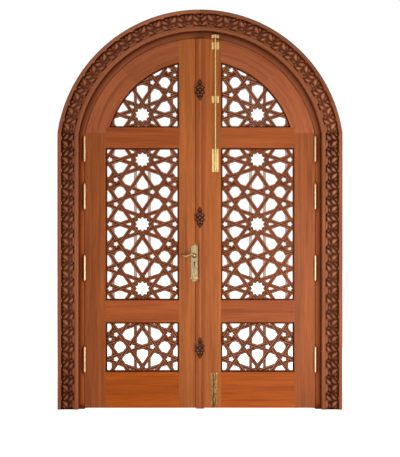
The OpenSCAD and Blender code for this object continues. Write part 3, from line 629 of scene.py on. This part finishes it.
def weave(straps):
    """For each strap, the straps that pass over it, alternating along every strap."""
    top, lines = crossings(straps)
    order = list(top)
    queue = [pair for pair in order if top[pair] is not None]
    for seed in order + [None]:
        while queue:
            pair = queue.pop(0)
            for strap in pair:
                line = lines[strap]
                at = line.index(pair)
                for near in (at - 1, at + 1):
                    if 0 <= near < len(line) and top[line[near]] is None:
                        other = line[near][0] if line[near][1] == strap else line[near][1]
                        top[line[near]] = other if top[pair] == strap else strap
                        queue.append(line[near])
        if seed is not None and top[seed] is None:
            top[seed] = seed[0]
            queue.append(seed)
    over = [[] for _ in straps]
    for (i, j), upper in top.items():
        over[i if upper == j else j].append(straps[upper])
    return over


def panel_straps(panel, straps):
    """The straps that cross a panel, cut to it."""
    out = []
    for start, run, length, width in straps:
        inside = [k for k in range(int(length / CUT_STEP))
                  if panel.holds(start + run * k * CUT_STEP, -CUT_SLACK)]
        if len(inside) > CUT_LEAST:
            lo, hi = inside[0] * CUT_STEP, inside[-1] * CUT_STEP
            out.append(Strap(start + run * lo, run, hi - lo, width))
    return out


def bead_runs(panel, straps, holes):
    """Start, end and sideways direction of each stretch of bead that lies on top."""
    runs = []
    for (start, run, length, width), over in zip(straps, weave(straps)):
        if panel.name == "middle_lattice" and abs(run.x) < TINY:
            continue
        normal = Vector((-run.y, run.x))
        for side in (-1, 1):
            off = side * (width / 2 - BEAD_W / 2 - BEAD_INSET)
            stretch = []
            for k in range(int(length / BEAD_STEP) + 2):
                p = start + run * (k * BEAD_STEP) + normal * off
                if (k <= int(length / BEAD_STEP) and panel.holds(p, BORDER)
                        and not any(covers(strap, p, BEAD_GAP, BEAD_END_GAP) for strap in over)
                        and not any(in_hole(p, hole) for hole in holes)):
                    stretch.append(p)
                    continue
                if len(stretch) > BEAD_LEAST:
                    runs.append((stretch[0], stretch[-1], normal))
                stretch = []
    return runs


def bead(mesh, panel, run, face, flip):
    """A rounded bead on a strap's front (face -1) or back."""
    start, end, normal = run
    tip = (end - start).normalized() * BEAD_TIP_L
    rows = []
    for p, rise in ((start, BEAD_TIP_H), (start + tip, BEAD_H),
                    (end - tip, BEAD_H), (end, BEAD_TIP_H)):
        row = []
        for across, up in ((-0.5, -BEAD_SUNK), (-0.5, rise * 0.5), (-0.28, rise), (0.28, rise),
                           (0.5, rise * 0.5), (0.5, -BEAD_SUNK)):
            q = p + normal * (across * BEAD_W)
            row.append((flip * (q.x + PANEL_X), face * (LATTICE_HALF + up), q.y + panel.star_z))
        rows.append(row if face * flip < 0 else row[::-1])
    mesh.grid(rows, caps=True)


def glare_lane(mesh, panel, x_pair, low_pair, high_pair, flip):
    """One lane of an upright's painted highlight strip on both sides of the lattice, with slanting
    ends.
    """
    x0, x1 = x_pair
    for face in (-1, 1):
        sunk, proud = face * (LATTICE_HALF - GLARE_SUNK), face * (LATTICE_HALF + GLARE_PROUD)
        rows = [[(flip * (x + PANEL_X), y, z + panel.star_z) for x, y, z in
                 ((x0, sunk, z0), (x0, proud, z0), (x1, proud, z1), (x1, sunk, z1))]
                for z0, z1 in (low_pair, high_pair)]
        mesh.grid(rows if face * flip < 0 else [row[::-1] for row in rows], caps=True)


def lattice_uprights(node, leaf, flip, panel, straps, holes):
    """Pale strips on the upright straps, between the slanting straps that pass over them: a
    painted highlight.
    """
    mesh = Mesh()
    slanting = [strap for strap in straps if not is_upright(strap)]

    def bare(p):
        return (panel.holds(p, BORDER)
                and not any(covers(strap, p, GLARE_GAP, GLARE_END_GAP) for strap in slanting)
                and not any(in_hole(p, hole) for hole in holes))

    def clear_runs(strap, x):
        found, start = [], None
        for k in range(int(strap.length / GLARE_STEP) + 2):
            z = strap.start.y + k * GLARE_STEP
            clear = k <= strap.length / GLARE_STEP and bare(Vector((x, z)))
            if clear and start is None:
                start = z
            if not clear and start is not None:
                found.append((start, z - GLARE_STEP))
                start = None
        return found

    for strap in straps:
        if not is_upright(strap):
            continue
        edges = [strap.start.x + strap.width * (k / GLARE_LANES - 0.5) * GLARE_SHARE
                 for k in range(GLARE_LANES + 1)]
        runs = [clear_runs(strap, x) for x in edges]
        for k in range(GLARE_LANES):
            for lo0, hi0 in runs[k]:
                for lo1, hi1 in runs[k + 1]:
                    shortest = min(hi0 - lo0, hi1 - lo1, min(hi0, hi1) - max(lo0, lo1))
                    if shortest >= GLARE_STEP:
                        glare_lane(mesh, panel, edges[k:k + 2], (lo0, lo1), (hi0, hi1), flip)
    # Painted highlight on the uprights
    pale = wood(node + "_upright_facing", UPRIGHT, finish=GLARE)
    piece(node + "_uprights", mesh, pale, leaf + "_leaf")


def lattice_mouldings():
    all_straps, holes = pattern()
    # The beads' lighter colour is a painted highlight
    edges = {leaf: wood(leaf + "_strap_edges", BEAD_HIGHLIGHT, finish=BEAD) for leaf, _ in SIDES}
    middle_edges = {leaf: wood(leaf + "_middle_strap_edges", MIDDLE_BEAD_HIGHLIGHT, finish=BEAD)
                    for leaf, _ in SIDES}
    for panel in PANELS:
        middle = panel.name == "middle_lattice"
        straps = panel_straps(panel, all_straps)
        runs = bead_runs(panel, straps, holes)
        for leaf, flip in SIDES:
            mesh = Mesh()
            for run in runs:
                for face in (-1, 1):
                    bead(mesh, panel, run, face, flip)
            node = leaf + "_" + panel.name
            edge = (middle_edges if middle else edges)[leaf]
            piece(node + "_moulding", mesh, edge, leaf + "_leaf")
            if middle:
                lattice_uprights(node, leaf, flip, panel, straps, holes)


# Carving: leaves along the architrave, and the tongues of its fillets

# Leaves of one repeat: root and tip as shares of its length and of the band's half width, share of
# a blade's width, and bow
REPEAT = (
    ((0.01, 0.06), (0.41, 0.94), 0.9, 0.004),
    ((0.06, -0.74), (0.46, 0.14), 0.9, 0.004),
    ((0.02, -0.94), (-0.4, 0.06), 1.1, -0.006),
    ((-0.28, -0.92), (-0.46, -0.3), 0.6, -0.003),
    ((-0.42, 0.3), (-0.08, 0.5), 0.6, 0.003),
    ((0.3, -0.92), (0.53, -0.4), 0.55, 0.002),
    ((0.47, 0.34), (0.55, 0.88), 0.5, 0.002),
    ((-0.04, 0.5), (0.13, 0.94), 0.5, 0.002),
)
LEAF_MARGIN, LEAF_SUNK = 0.003, 0.001
EDGE_LOBES, LOBE_DEPTH = 3.5, 0.08
REEDS, REED_DEPTH = 1.5, 0.22
ARCH_LEAD = math.radians(0.4)
ARCH_STEPS = 48
# Half length and depth of the fillets' tongues, their place as a share of the repeat, and their
# section as (share of length and depth, rise)
OUTER_TONGUE, INNER_TONGUE = (0.012, 0.007), (0.030, 0.017)
TONGUE_AT, TONGUE_STEPS = 0.2, 16
TONGUE_SECTION = ((1, 0.0005), (0.88, 0.004), (0.68, 0.0072), (0.4, 0.0093), (0, 0.0098))


def leaf_rows(length, width, height, bow, along, across):
    """A leaf along X with three reeds along it and lobed edges."""
    rows = []
    for i in range(along + 1):
        t = i / along
        swell = max(math.sin(math.pi * t), 0.0) ** 0.7
        row = []
        for k in range(across):
            s = 2 * k / (across - 1) - 1
            edge = abs(s)
            lobe = 1 + LOBE_DEPTH * edge * math.cos(2 * math.pi * EDGE_LOBES * t)
            y = bow * math.sin(math.pi * t) + s * width / 2 * swell * lobe
            reed = 1 - REED_DEPTH + REED_DEPTH * math.cos(2 * math.pi * REEDS * s)
            crown = (1 - edge ** 3) * reed
            row.append(Vector((length * t, y, -LEAF_SUNK + (height + LEAF_SUNK) * swell * crown)))
        rows.append(row)
    return rows


def placed_leaf(mesh, root, tip, width, height, bow, to_world, along=18, across=13, flip=False):
    root, tip = Vector(root), Vector(tip)
    lean = tip - root
    u = lean.normalized()
    n = Vector((-u.y, u.x))
    rows = []
    for row in leaf_rows(lean.length, width, height, bow, along, across):
        out = []
        for p in row:
            q = root + u * p.x + n * p.y
            out.append(to_world(q.x, q.y, p.z))
        rows.append(out[::-1] if flip else out)
    mesh.grid(rows)


def carved_repeat(mesh, length, to_world, flip):
    half_w = BAND_W / 2 - LEAF_MARGIN
    middle = OUTER_FILLET + BAND_W / 2
    for root, tip, share, bow in REPEAT:
        placed_leaf(mesh, (root[0] * length, middle + root[1] * half_w),
                    (tip[0] * length, middle + tip[1] * half_w),
                    BLADE_W * share, BLADE_H * (0.4 + 0.6 * share), bow, to_world, flip=flip)


def tongue(mesh, middle_u, edge_v, inward, size, to_world, flip):
    """A half-round tongue of a fillet that laps a little way into the band."""
    long, deep = size
    rows = []
    for share, rise in TONGUE_SECTION:
        row = []
        for k in range(TONGUE_STEPS + 1):
            a = math.pi * k / TONGUE_STEPS
            row.append(to_world(share * long * math.cos(a) + middle_u,
                                edge_v + inward * share * deep * math.sin(a), rise))
        rows.append(row[::-1] if flip != (inward < 0) else row)
    mesh.grid(rows)


def tongues(mesh, length, to_world, flip):
    shift = TONGUE_AT * length
    tongue(mesh, shift, OUTER_FILLET, 1, OUTER_TONGUE, to_world, flip)
    tongue(mesh, -shift, ARCHITRAVE_W - INNER_FILLET, -1, INNER_TONGUE, to_world, flip)


def band_section():
    """The band's ground as (distance across the architrave, y)."""
    v0, v1 = OUTER_FILLET + BAND_PLAY, ARCHITRAVE_W - INNER_FILLET - BAND_PLAY
    return (v0, BAND_BACK), (v0, BAND_FACE), (v1, BAND_FACE), (v1, BAND_BACK)


def leg_carving(sign):
    """The carved band and the fillets' tongues along one leg."""
    band, edge = Mesh(), Mesh()
    band.grid([[(sign * (OUTER_HALF - v), y, z) for v, y in band_section()]
               for z in (0.0, SPRING_Z)], closed=True, caps=True)
    count = round(SPRING_Z / REPEAT_L)
    length = SPRING_Z / count
    for i in range(count):
        def to_leg(u, v, up, z=(i + 0.5) * length):
            return (sign * (OUTER_HALF - v), BAND_FACE - up, z + u)

        carved_repeat(band, length, to_leg, sign > 0)
        tongues(edge, length, to_leg, sign > 0)
    return band, edge


def arch_carving(sign):
    """The carved band and the fillets' tongues along one half of the arch."""
    band, edge = Mesh(), Mesh()
    rows = []
    for i in range(ARCH_STEPS + 1):
        row = []
        for v, y in band_section():
            r = OUTER_R - v
            first = math.asin((SPRING_Z - ARCH_Z) / r)
            a = first + (math.pi / 2 - first) * i / ARCH_STEPS
            row.append((sign * r * math.cos(a), y, ARCH_Z + r * math.sin(a)))
        rows.append(row)
    band.grid(rows, closed=True, caps=True)
    middle_r = OUTER_R - ARCHITRAVE_W / 2
    first = math.asin((SPRING_Z - ARCH_Z) / middle_r) + ARCH_LEAD
    count = round((math.pi / 2 - first) * middle_r / REPEAT_L)
    turn = (math.pi / 2 - first) / count
    for i in range(count):
        def to_arch(u, v, up, a=first + (i + 0.5) * turn):
            r = OUTER_R - v
            return (sign * (r * math.cos(a) - u * math.sin(a)), BAND_FACE - up,
                    ARCH_Z + r * math.sin(a) + u * math.cos(a))

        carved_repeat(band, turn * middle_r, to_arch, sign > 0)
        tongues(edge, turn * middle_r, to_arch, sign > 0)
    return band, edge


def carved_bands():
    for side, sign in SIDES:
        for shapes, part in ((leg_carving(sign), side), (arch_carving(sign), side + "_arch")):
            band, edge = shapes
            node, edge_node = part + "_carved_band", part + "_architrave"
            obj = piece(node + "_relief", band, NODES[node].data.materials[0],
                        "frame", True)
            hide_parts(node)
            piece(edge_node + "_scallops", edge, NODES[edge_node].data.materials[0],
                  "frame", True)


# Cover strip with its bosses

# Section of the strip as (distance, depth below its face): inwards from the edge for the bead,
# quirk and fillet, outwards from the reed for its flank, and shares of the reed for its top
STRIP_EDGE = ((0, 0.005), (0.0008, 0.003), (0.0022, 0.0012), (0.004, 0.0005), (0.0058, 0.0012),
              (0.0074, 0.0026), (0.0085, 0.004), (0.011, 0.004), (0.0116, 0.0012),
              (0.0124, 0.0005))
REED_FLANK = ((0.003, 0.0005), (0.0022, 0.003), (0.001, 0.003))
REED_TOP = ((1, 0.0012), (0.75, 0.0004), (0.5, 0.0001), (0.2, 0))

# Right side of a boss from bud to foot, and its lobes, as shares of its width and height
BOSS_SIDE = ((0.21, 0.345), (0.155, 0.25), (0.3, 0.19), (0.4, 0), (0.3, -0.225), (0.31, -0.29))
LOBE_X, LOBE_ZS, LOBE_R = 0.36, (0.106, -0.13), 0.125
BOSS_POINTS = 96
# Rim as (inset, height above the leaf), down to the ground of the carving
BOSS_GROUND = BOSS_FACE - BOSS_SUNK
BOSS_RIM = ((0, 0), (0, BOSS_FACE - 0.001), (0.0006, BOSS_FACE), (0.0024, BOSS_FACE),
            (0.0036, BOSS_GROUND))
BOSS_PROUD = 0.0035
# Leaves to each side as root, tip, width, height and bow
BOSS_LEAVES = (
    ((0.004, 0.008), (0.029, 0.018), 0.014, 0.0075, 0.003),
    ((0.006, -0.006), (0.029, -0.019), 0.015, 0.0075, -0.003),
    ((0.003, -0.020), (0.019, -0.041), 0.013, 0.0075, -0.003),
    ((0.003, 0.020), (0.017, 0.031), 0.010, 0.0065, 0.002),
    ((0.001, 0.038), (0.011, 0.053), 0.009, 0.0065, 0.002),
)
# Leaves along the middle as the heights of root and tip
MIDDLE_LEAVES = ((0.042, 0.072), (0.008, 0.036), (-0.038, -0.072))
MIDDLE_LEAF_W, MIDDLE_LEAF_H = 0.011, 0.007
BOSS_LEAF_GRID = (12, 7)
# Button in the middle as (radius, rise)
BUTTON = ((0.0055, 0), (0.005, 0.0045), (0.003, 0.0065), (0.0002, 0.007))
BUTTON_SIDES = 16


def strip_profile():
    """The strip's section as (x, height above the leaf), from one foot to the other."""
    half = [(STRIP_HALF, 0)]
    half += [(STRIP_HALF - x, STRIP_T - y) for x, y in STRIP_EDGE]
    half += [(STRIP_REED + x, STRIP_T - y) for x, y in REED_FLANK]
    half += [(STRIP_REED * share, STRIP_T - y) for share, y in REED_TOP]
    return half + [(-x, y) for x, y in reversed(half)]


def boss_outline(inset):
    """Bud, lobed body and pointed foot, anticlockwise, drawn in by so much towards the middle."""
    shares = [(0, 0.5), *BOSS_SIDE, (0, -0.5), *((-x, z) for x, z in reversed(BOSS_SIDE))]
    corners = [(x * BOSS_W, z * BOSS_H) for x, z in shares]
    lobes = [(side * LOBE_X * BOSS_W, z * BOSS_H, LOBE_R * BOSS_W)
             for side in (1, -1) for z in LOBE_ZS]
    points = []
    for k in range(BOSS_POINTS):
        a = 2 * math.pi * k / BOSS_POINTS + math.pi / 2
        ray = Vector((math.cos(a), math.sin(a)))
        reach = 0.0
        for (x0, z0), (x1, z1) in zip(corners, corners[1:] + corners[:1]):
            edge = Vector((x1 - x0, z1 - z0))
            across = ray.x * edge.y - ray.y * edge.x
            if abs(across) > PARALLEL:
                along = (x0 * edge.y - z0 * edge.x) / across
                share = (x0 * ray.y - z0 * ray.x) / across
                if along > 0 and -TINY <= share <= 1 + TINY:
                    reach = max(reach, along)
        for x, z, r in lobes:
            along = x * ray.x + z * ray.y
            room = r * r - (x * x + z * z - along * along)
            if along > 0 and room > 0:
                reach = max(reach, along + math.sqrt(room))
        points.append(tuple(ray * (reach - inset)))
    return points


def boss(mesh, carving, middle_z):
    """One boss: its rim goes with the strip, and what is sunk in it with the carving."""
    rows = [[(x, LEAF_FRONT - rise, middle_z + z) for x, z in boss_outline(inset)]
            for inset, rise in BOSS_RIM]
    mesh.grid([row[::-1] for row in rows[:-1]], closed=True)
    carving.grid([row[::-1] for row in rows[-2:]], closed=True)
    carving.add(rows[-1], [tuple(range(len(rows[-1])))])

    def to_boss(u, v, up):
        return (u, LEAF_FRONT - BOSS_GROUND - up, middle_z + v)

    for side in (1, -1):
        for root, tip, width, height, bow in BOSS_LEAVES:
            placed_leaf(carving, (side * root[0], root[1]), (side * tip[0], tip[1]),
                        width, height, side * bow, to_boss, *BOSS_LEAF_GRID)
    for root_z, tip_z in MIDDLE_LEAVES:
        placed_leaf(carving, (0, root_z), (0, tip_z), MIDDLE_LEAF_W, MIDDLE_LEAF_H, 0, to_boss,
                    *BOSS_LEAF_GRID)
    turns = [2 * math.pi * k / BUTTON_SIDES for k in range(BUTTON_SIDES)]
    carving.grid([[to_boss(r * math.cos(a), r * math.sin(a), rise) for a in turns]
                  for r, rise in BUTTON], closed=True)


def cover_strip():
    mesh, carving = Mesh(), Mesh()
    profile = strip_profile()
    notched = [(max(x, PLATE_NOTCH_X), y) for x, y in profile]
    for shape, z0, z1 in ((profile, STRIP_FOOT, PLATE_Z0), (notched, PLATE_Z0, PLATE_Z1),
                          (profile, PLATE_Z1, STRIP_TOP)):
        mesh.grid([[(x, LEAF_FRONT - y, z) for x, y in shape] for z in (z0, z1)],
                  closed=True, caps=True)
    for middle_z in BOSS_ZS:
        boss(mesh, carving, middle_z)
    obj = piece("cover_strip_moulding", mesh, NODES["cover_strip"].data.materials[0],
                "left_leaf")
    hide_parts("cover_strip")
    face = LEAF_FRONT - BOSS_FACE
    # The boss carving's dark colour is painted shade, with a painted highlight on its crests
    dark = wood("boss_carving", BOSS, finish=BOSS_CARVING,
                relief=(face + BOSS_SUNK, face - BOSS_PROUD, BOSS_CREST_HIGHLIGHT))
    piece("cover_strip_boss_carving", carving, dark, "left_leaf", True)


# Dark pieces of painted shade

SHADE_HALF_W, SHADE_HALF_H = 0.010, 0.017
SHADE_SUNK, SHADE_PROUD = 0.001, 0.0006
GAP_SHADE_X, GAP_SHADE_Y, GAP_SHADE_Z = (0.0360, 0.03692), (-0.0195, -0.0215), (0.012, 2.470)


def keyhole_shade():
    """Dark piece on the stile behind each backplate's keyhole: painted shade that makes the
    keyhole read dark.
    """
    mesh = Mesh()
    for face in (-1, 1):
        low = face * (abs(LEAF_FRONT) - SHADE_SUNK)
        high = face * (abs(LEAF_FRONT) + SHADE_PROUD)
        section = ((-SHADE_HALF_W, low), (SHADE_HALF_W, low),
                   (SHADE_HALF_W, high), (-SHADE_HALF_W, high))
        mesh.grid([[(LEVER_X + x, y, z) for x, y in section]
                   for z in (KEY_Z - SHADE_HALF_H, KEY_Z + SHADE_HALF_H)], closed=True, caps=True)
    piece("keyhole_shade", mesh, KEYHOLE_PAINTED_SHADE, "left_leaf")


def meeting_seal():
    """Dark strip on the left leaf's edge, just behind the gap between the leaves: painted shade
    that makes the gap read as a dark line.
    """
    mesh = Mesh()
    (x0, x1), (y0, y1) = GAP_SHADE_X, GAP_SHADE_Y
    section = ((x0, y0), (x0, y1), (x1, y1), (x1, y0))
    mesh.grid([[(x, y, z) for x, y in section] for z in GAP_SHADE_Z], closed=True, caps=True)
    piece("meeting_seal", mesh, wood("meeting_seal", GAP_SHADE), "left_leaf")


# Levers

# Neck as (radius, distance from the leaf's middle) in millimetres
NECK = ((9, 25), (9, 31.2), (14.9, 31.4), (15.3, 32.6), (14.8, 34), (12.6, 36), (11.2, 39),
        (10.2, 42), (9.2, 48), (8.6, 60), (8.8, 74), (8.8, 81), (7.8, 84.4), (5, 86.2),
        (0.2, 86.4))
NECK_SIDES = 28
# Grip: length, distance from the leaf's middle, width, the shares of it that give the radius and
# its taper, the wave's rise and how it fades, and the rounded end
GRIP_L, GRIP_OUT, GRIP_W, GRIP_SHARE, GRIP_TAPER = 0.080, 0.08172, 0.018, 0.46, 0.16
GRIP_WAVE, WAVE_FADE = 0.007, 0.3
GRIP_END, GRIP_END_L, GRIP_END_LEAST = 0.85, 0.1502, 0.0004
GRIP_STEPS, GRIP_SIDES = 44, 20


def ring(centre, u, v, r, count):
    points = []
    for k in range(count):
        a = 2 * math.pi * k / count
        points.append(tuple(centre + u * (r * math.cos(a)) + v * (r * math.sin(a))))
    return points


def lever(name, node, sign):
    """A lever's neck and waved grip on the front (sign 1) or the back (sign -1)."""
    mesh = Mesh()
    base = Vector((LEVER_X, 0, LEVER_Z))
    mesh.grid([ring(base + Vector((0, -sign * out / 1000, 0)), Vector((1, 0, 0)),
                    Vector((0, 0, sign)), r / 1000, NECK_SIDES) for r, out in NECK],
              closed=True, caps=True)
    rows = []
    for i in range(GRIP_STEPS + 1):
        t = i / GRIP_STEPS
        rounding = max(1 - (max(0, t - GRIP_END) / GRIP_END_L) ** 2, GRIP_END_LEAST)
        r = GRIP_W * (GRIP_SHARE - GRIP_TAPER * t) * math.sqrt(rounding)
        wave = GRIP_WAVE * math.sin(2 * math.pi * t) * (1 - WAVE_FADE * t)
        centre = base + Vector((-GRIP_L * t, -sign * GRIP_OUT, wave))
        rows.append(ring(centre, Vector((0, sign, 0)), Vector((0, 0, 1)), r, GRIP_SIDES))
    mesh.grid(rows, closed=True, caps=True)
    obj = piece(name, mesh, LEVER_BRASS, "handle", True)
    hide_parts(node)


# Screws

# Radius and rise of a head
PLATE_SCREW, BOLT_SCREW, HINGE_SCREW = (0.0036, 0.0012), (0.0031, 0.001), (0.0038, 0.0004)
# Dome of a head as shares of both
HEAD_DOME = ((0.97, 0.45), (0.7, 0.85), (0.3, 1))
SCREW_SUNK, SLOT_SHARE, HEAD_STEPS = 0.0003, 0.14, 10
PLATE_FACE = 0.031
GUIDE_DX, GUIDE_DZ = 0.018, 0.016
BOLT_DX, KEEPER_SPREAD = 0.016, 1.12
TOP_BOLT_ZS, BOTTOM_BOLT_ZS = (1.594, 1.662, 1.731), (0.040, 0.139, 0.238)
FRAME_HINGE_X, LEAF_HINGE_X = 0.772, 0.769
HINGE_DZS = (-0.062, 0, 0.062)
HINGE_MIDDLE_Y, HINGE_END_Y = -0.002, -0.008


def screw(mesh, place, out, r, rise):
    """Slotted head: two half domes with the slot between them."""
    place, out = Vector(place), Vector(out)
    side = Vector((0, 0, 1))
    other = out.cross(side)
    tilt = random.uniform(0, math.pi)
    side, other = (side * math.cos(tilt) + other * math.sin(tilt),
                   other * math.cos(tilt) - side * math.sin(tilt))
    gap = r * SLOT_SHARE
    section = [(1, -SCREW_SUNK)] + [(share, rise * up) for share, up in HEAD_DOME]
    for half in (1, -1):
        rows = []
        for share, height in section:
            row = []
            for k in range(HEAD_STEPS + 1):
                a = math.pi * k / HEAD_STEPS
                across = max(math.sin(a) * r * share, gap)
                row.append(tuple(place + side * (math.cos(a) * r * share)
                                 + other * (half * across) + out * height))
            rows.append(row if half > 0 else row[::-1])
        mesh.grid(rows, closed=True, caps=True)


def screws():
    groups = {}

    def put(group, body, place, out, size):
        screw(groups.setdefault((group, body), Mesh()), place, out, *size)

    def put_front(group, body, x, z):
        put(group, body, (x, BOLT_PLATE_FACE, z), (0, -1, 0), BOLT_SCREW)

    for sign in (-1, 1):
        for z in PLATE_SCREW_ZS:
            put("backplate_screws", "left_leaf", (LEVER_X, sign * PLATE_FACE, z), (0, sign, 0),
                PLATE_SCREW)
    for z in GUIDE_ZS:
        for dx in (-GUIDE_DX, GUIDE_DX):
            for dz in (-GUIDE_DZ, GUIDE_DZ):
                put_front("bolt_screws", "right_leaf", TOP_BOLT_X + dx, z + dz)
    for dx in (-BOLT_DX, BOLT_DX):
        for z in TOP_BOLT_ZS:
            put_front("bolt_screws", "right_leaf", TOP_BOLT_X + dx, z)
        for z in BOTTOM_BOLT_ZS:
            put_front("bolt_screws", "right_leaf", BOTTOM_BOLT_X + dx, z)
        put_front("keeper_screws", "frame", TOP_BOLT_X + dx * KEEPER_SPREAD, KEEPER_Z)
    for side, sign in SIDES:
        for z in HINGE_ZS:
            for dz in HINGE_DZS:
                y = HINGE_END_Y if dz else HINGE_MIDDLE_Y
                put(side + "_frame_hinge_screws", "frame",
                    (sign * FRAME_HINGE_X, y, z + dz), (-sign, 0, 0), HINGE_SCREW)
                put(side + "_leaf_hinge_screws", side + "_leaf",
                    (sign * LEAF_HINGE_X, y, z + dz), (sign, 0, 0), HINGE_SCREW)
    for (name, body), mesh in groups.items():
        piece(name, mesh, BOLT_BRASS if "bolt" in name else BRASS, body)


# Stage, light and camera

STAGE_HALF = 30
# Width of the photo in pixels, metres to a pixel, what the camera looks at and from how far
PHOTO_W, PIXEL = 400, 0.006674
AIM_X, AIM_Y, AIM_Z, AIM_REACH = 0.0003, -0.042, 1.2073, 9.0

# Area lights: name, place, target, size, power and colour
LIGHTS = (
    ("key", (1.3, -3.0, 0.7), (0.1, 0, 0.9), (1.6, 1.3), 82, (1, 0.98, 0.95)),
    ("fill", (-2.8, -5.2, 1.2), (0, 0, 0.9), (2.6, 2.2), 18, (1, 0.99, 0.98)),
    ("rake", (-0.6, -1.5, 4.9), (0, -0.05, 1.2), (3.2, 0.8), 8, (1, 1, 1)),
    ("back", (1.5, 4.4, 2.0), (0, 0, 1.2), (2.6, 2.2), 105, (1, 0.99, 0.97)),
)


def area_light(name, place, target, size, power, colour):
    data = bpy.data.lights.new(name, "AREA")
    data.shape = "RECTANGLE"
    data.size, data.size_y = size
    data.energy = power
    data.color = colour
    obj = bpy.data.objects.new(name, data)
    bpy.context.collection.objects.link(obj)
    obj.location = place
    obj.rotation_euler = (Vector(target) - obj.location).to_track_quat("-Z", "Y").to_euler()


def floor():
    """Pale floor that looks white to the camera."""
    far = STAGE_HALF
    mesh = bpy.data.meshes.new("floor")
    mesh.from_pydata([(-far, -far, 0), (far, -far, 0), (far, far, 0), (-far, far, 0)], [],
                     [(0, 1, 2, 3)])
    obj = bpy.data.objects.new("floor", mesh)
    bpy.context.collection.objects.link(obj)
    mat, tree, shader = new_material("pale_floor")
    shader.inputs["Base Color"].default_value = srgb(250, 250, 249)
    shader.inputs["Roughness"].default_value = 0.85
    shader.inputs["Emission Color"].default_value = (1, 1, 1, 1)
    seen = tree.nodes.new("ShaderNodeLightPath").outputs["Is Camera Ray"]
    tree.links.new(math_node(tree, "MULTIPLY", seen, 0.9), shader.inputs["Emission Strength"])
    mesh.materials.append(mat)


def backdrop():
    """White to the camera and in reflections, and a faint glow for the light on the door."""
    world = bpy.data.worlds.new("studio")
    bpy.context.scene.world = world
    world.use_nodes = True
    tree = world.node_tree
    tree.nodes.clear()
    out = tree.nodes.new("ShaderNodeOutputWorld")
    white = add_node(tree, "ShaderNodeBackground", Color=(1, 1, 1, 1), Strength=1)
    glow = add_node(tree, "ShaderNodeBackground", Color=(1, 0.99, 0.97, 1), Strength=0.16)
    path = tree.nodes.new("ShaderNodeLightPath").outputs
    mirrored = math_node(tree, "MAXIMUM", path["Is Glossy Ray"], path["Is Transmission Ray"])
    mix = tree.nodes.new("ShaderNodeMixShader")
    for socket, value in zip(mix.inputs, (
            math_node(tree, "MAXIMUM", path["Is Camera Ray"], mirrored),
            glow.outputs[0], white.outputs[0])):
        tree.links.new(value, socket)
    tree.links.new(mix.outputs[0], out.inputs["Surface"])


def camera():
    data = bpy.data.cameras.new("camera")
    obj = bpy.data.objects.new("camera", data)
    bpy.context.collection.objects.link(obj)
    obj.location = (AIM_X, AIM_Y - AIM_REACH, AIM_Z)
    obj.rotation_euler = (math.radians(90), 0, 0)
    data.sensor_fit = "HORIZONTAL"
    data.angle = 2 * math.atan(PHOTO_W * PIXEL / 2 / AIM_REACH)
    data.clip_end = 200
    bpy.context.scene.camera = obj


dress_nodes()
lattice_mouldings()
carved_bands()
cover_strip()
keyhole_shade()
meeting_seal()
lever("front_lever_form", "front_lever", 1)
lever("back_lever_form", "back_lever", -1)
screws()

floor()
backdrop()
camera()
for light in LIGHTS:
    area_light(*light)
bpy.context.scene.view_settings.view_transform = "Standard"
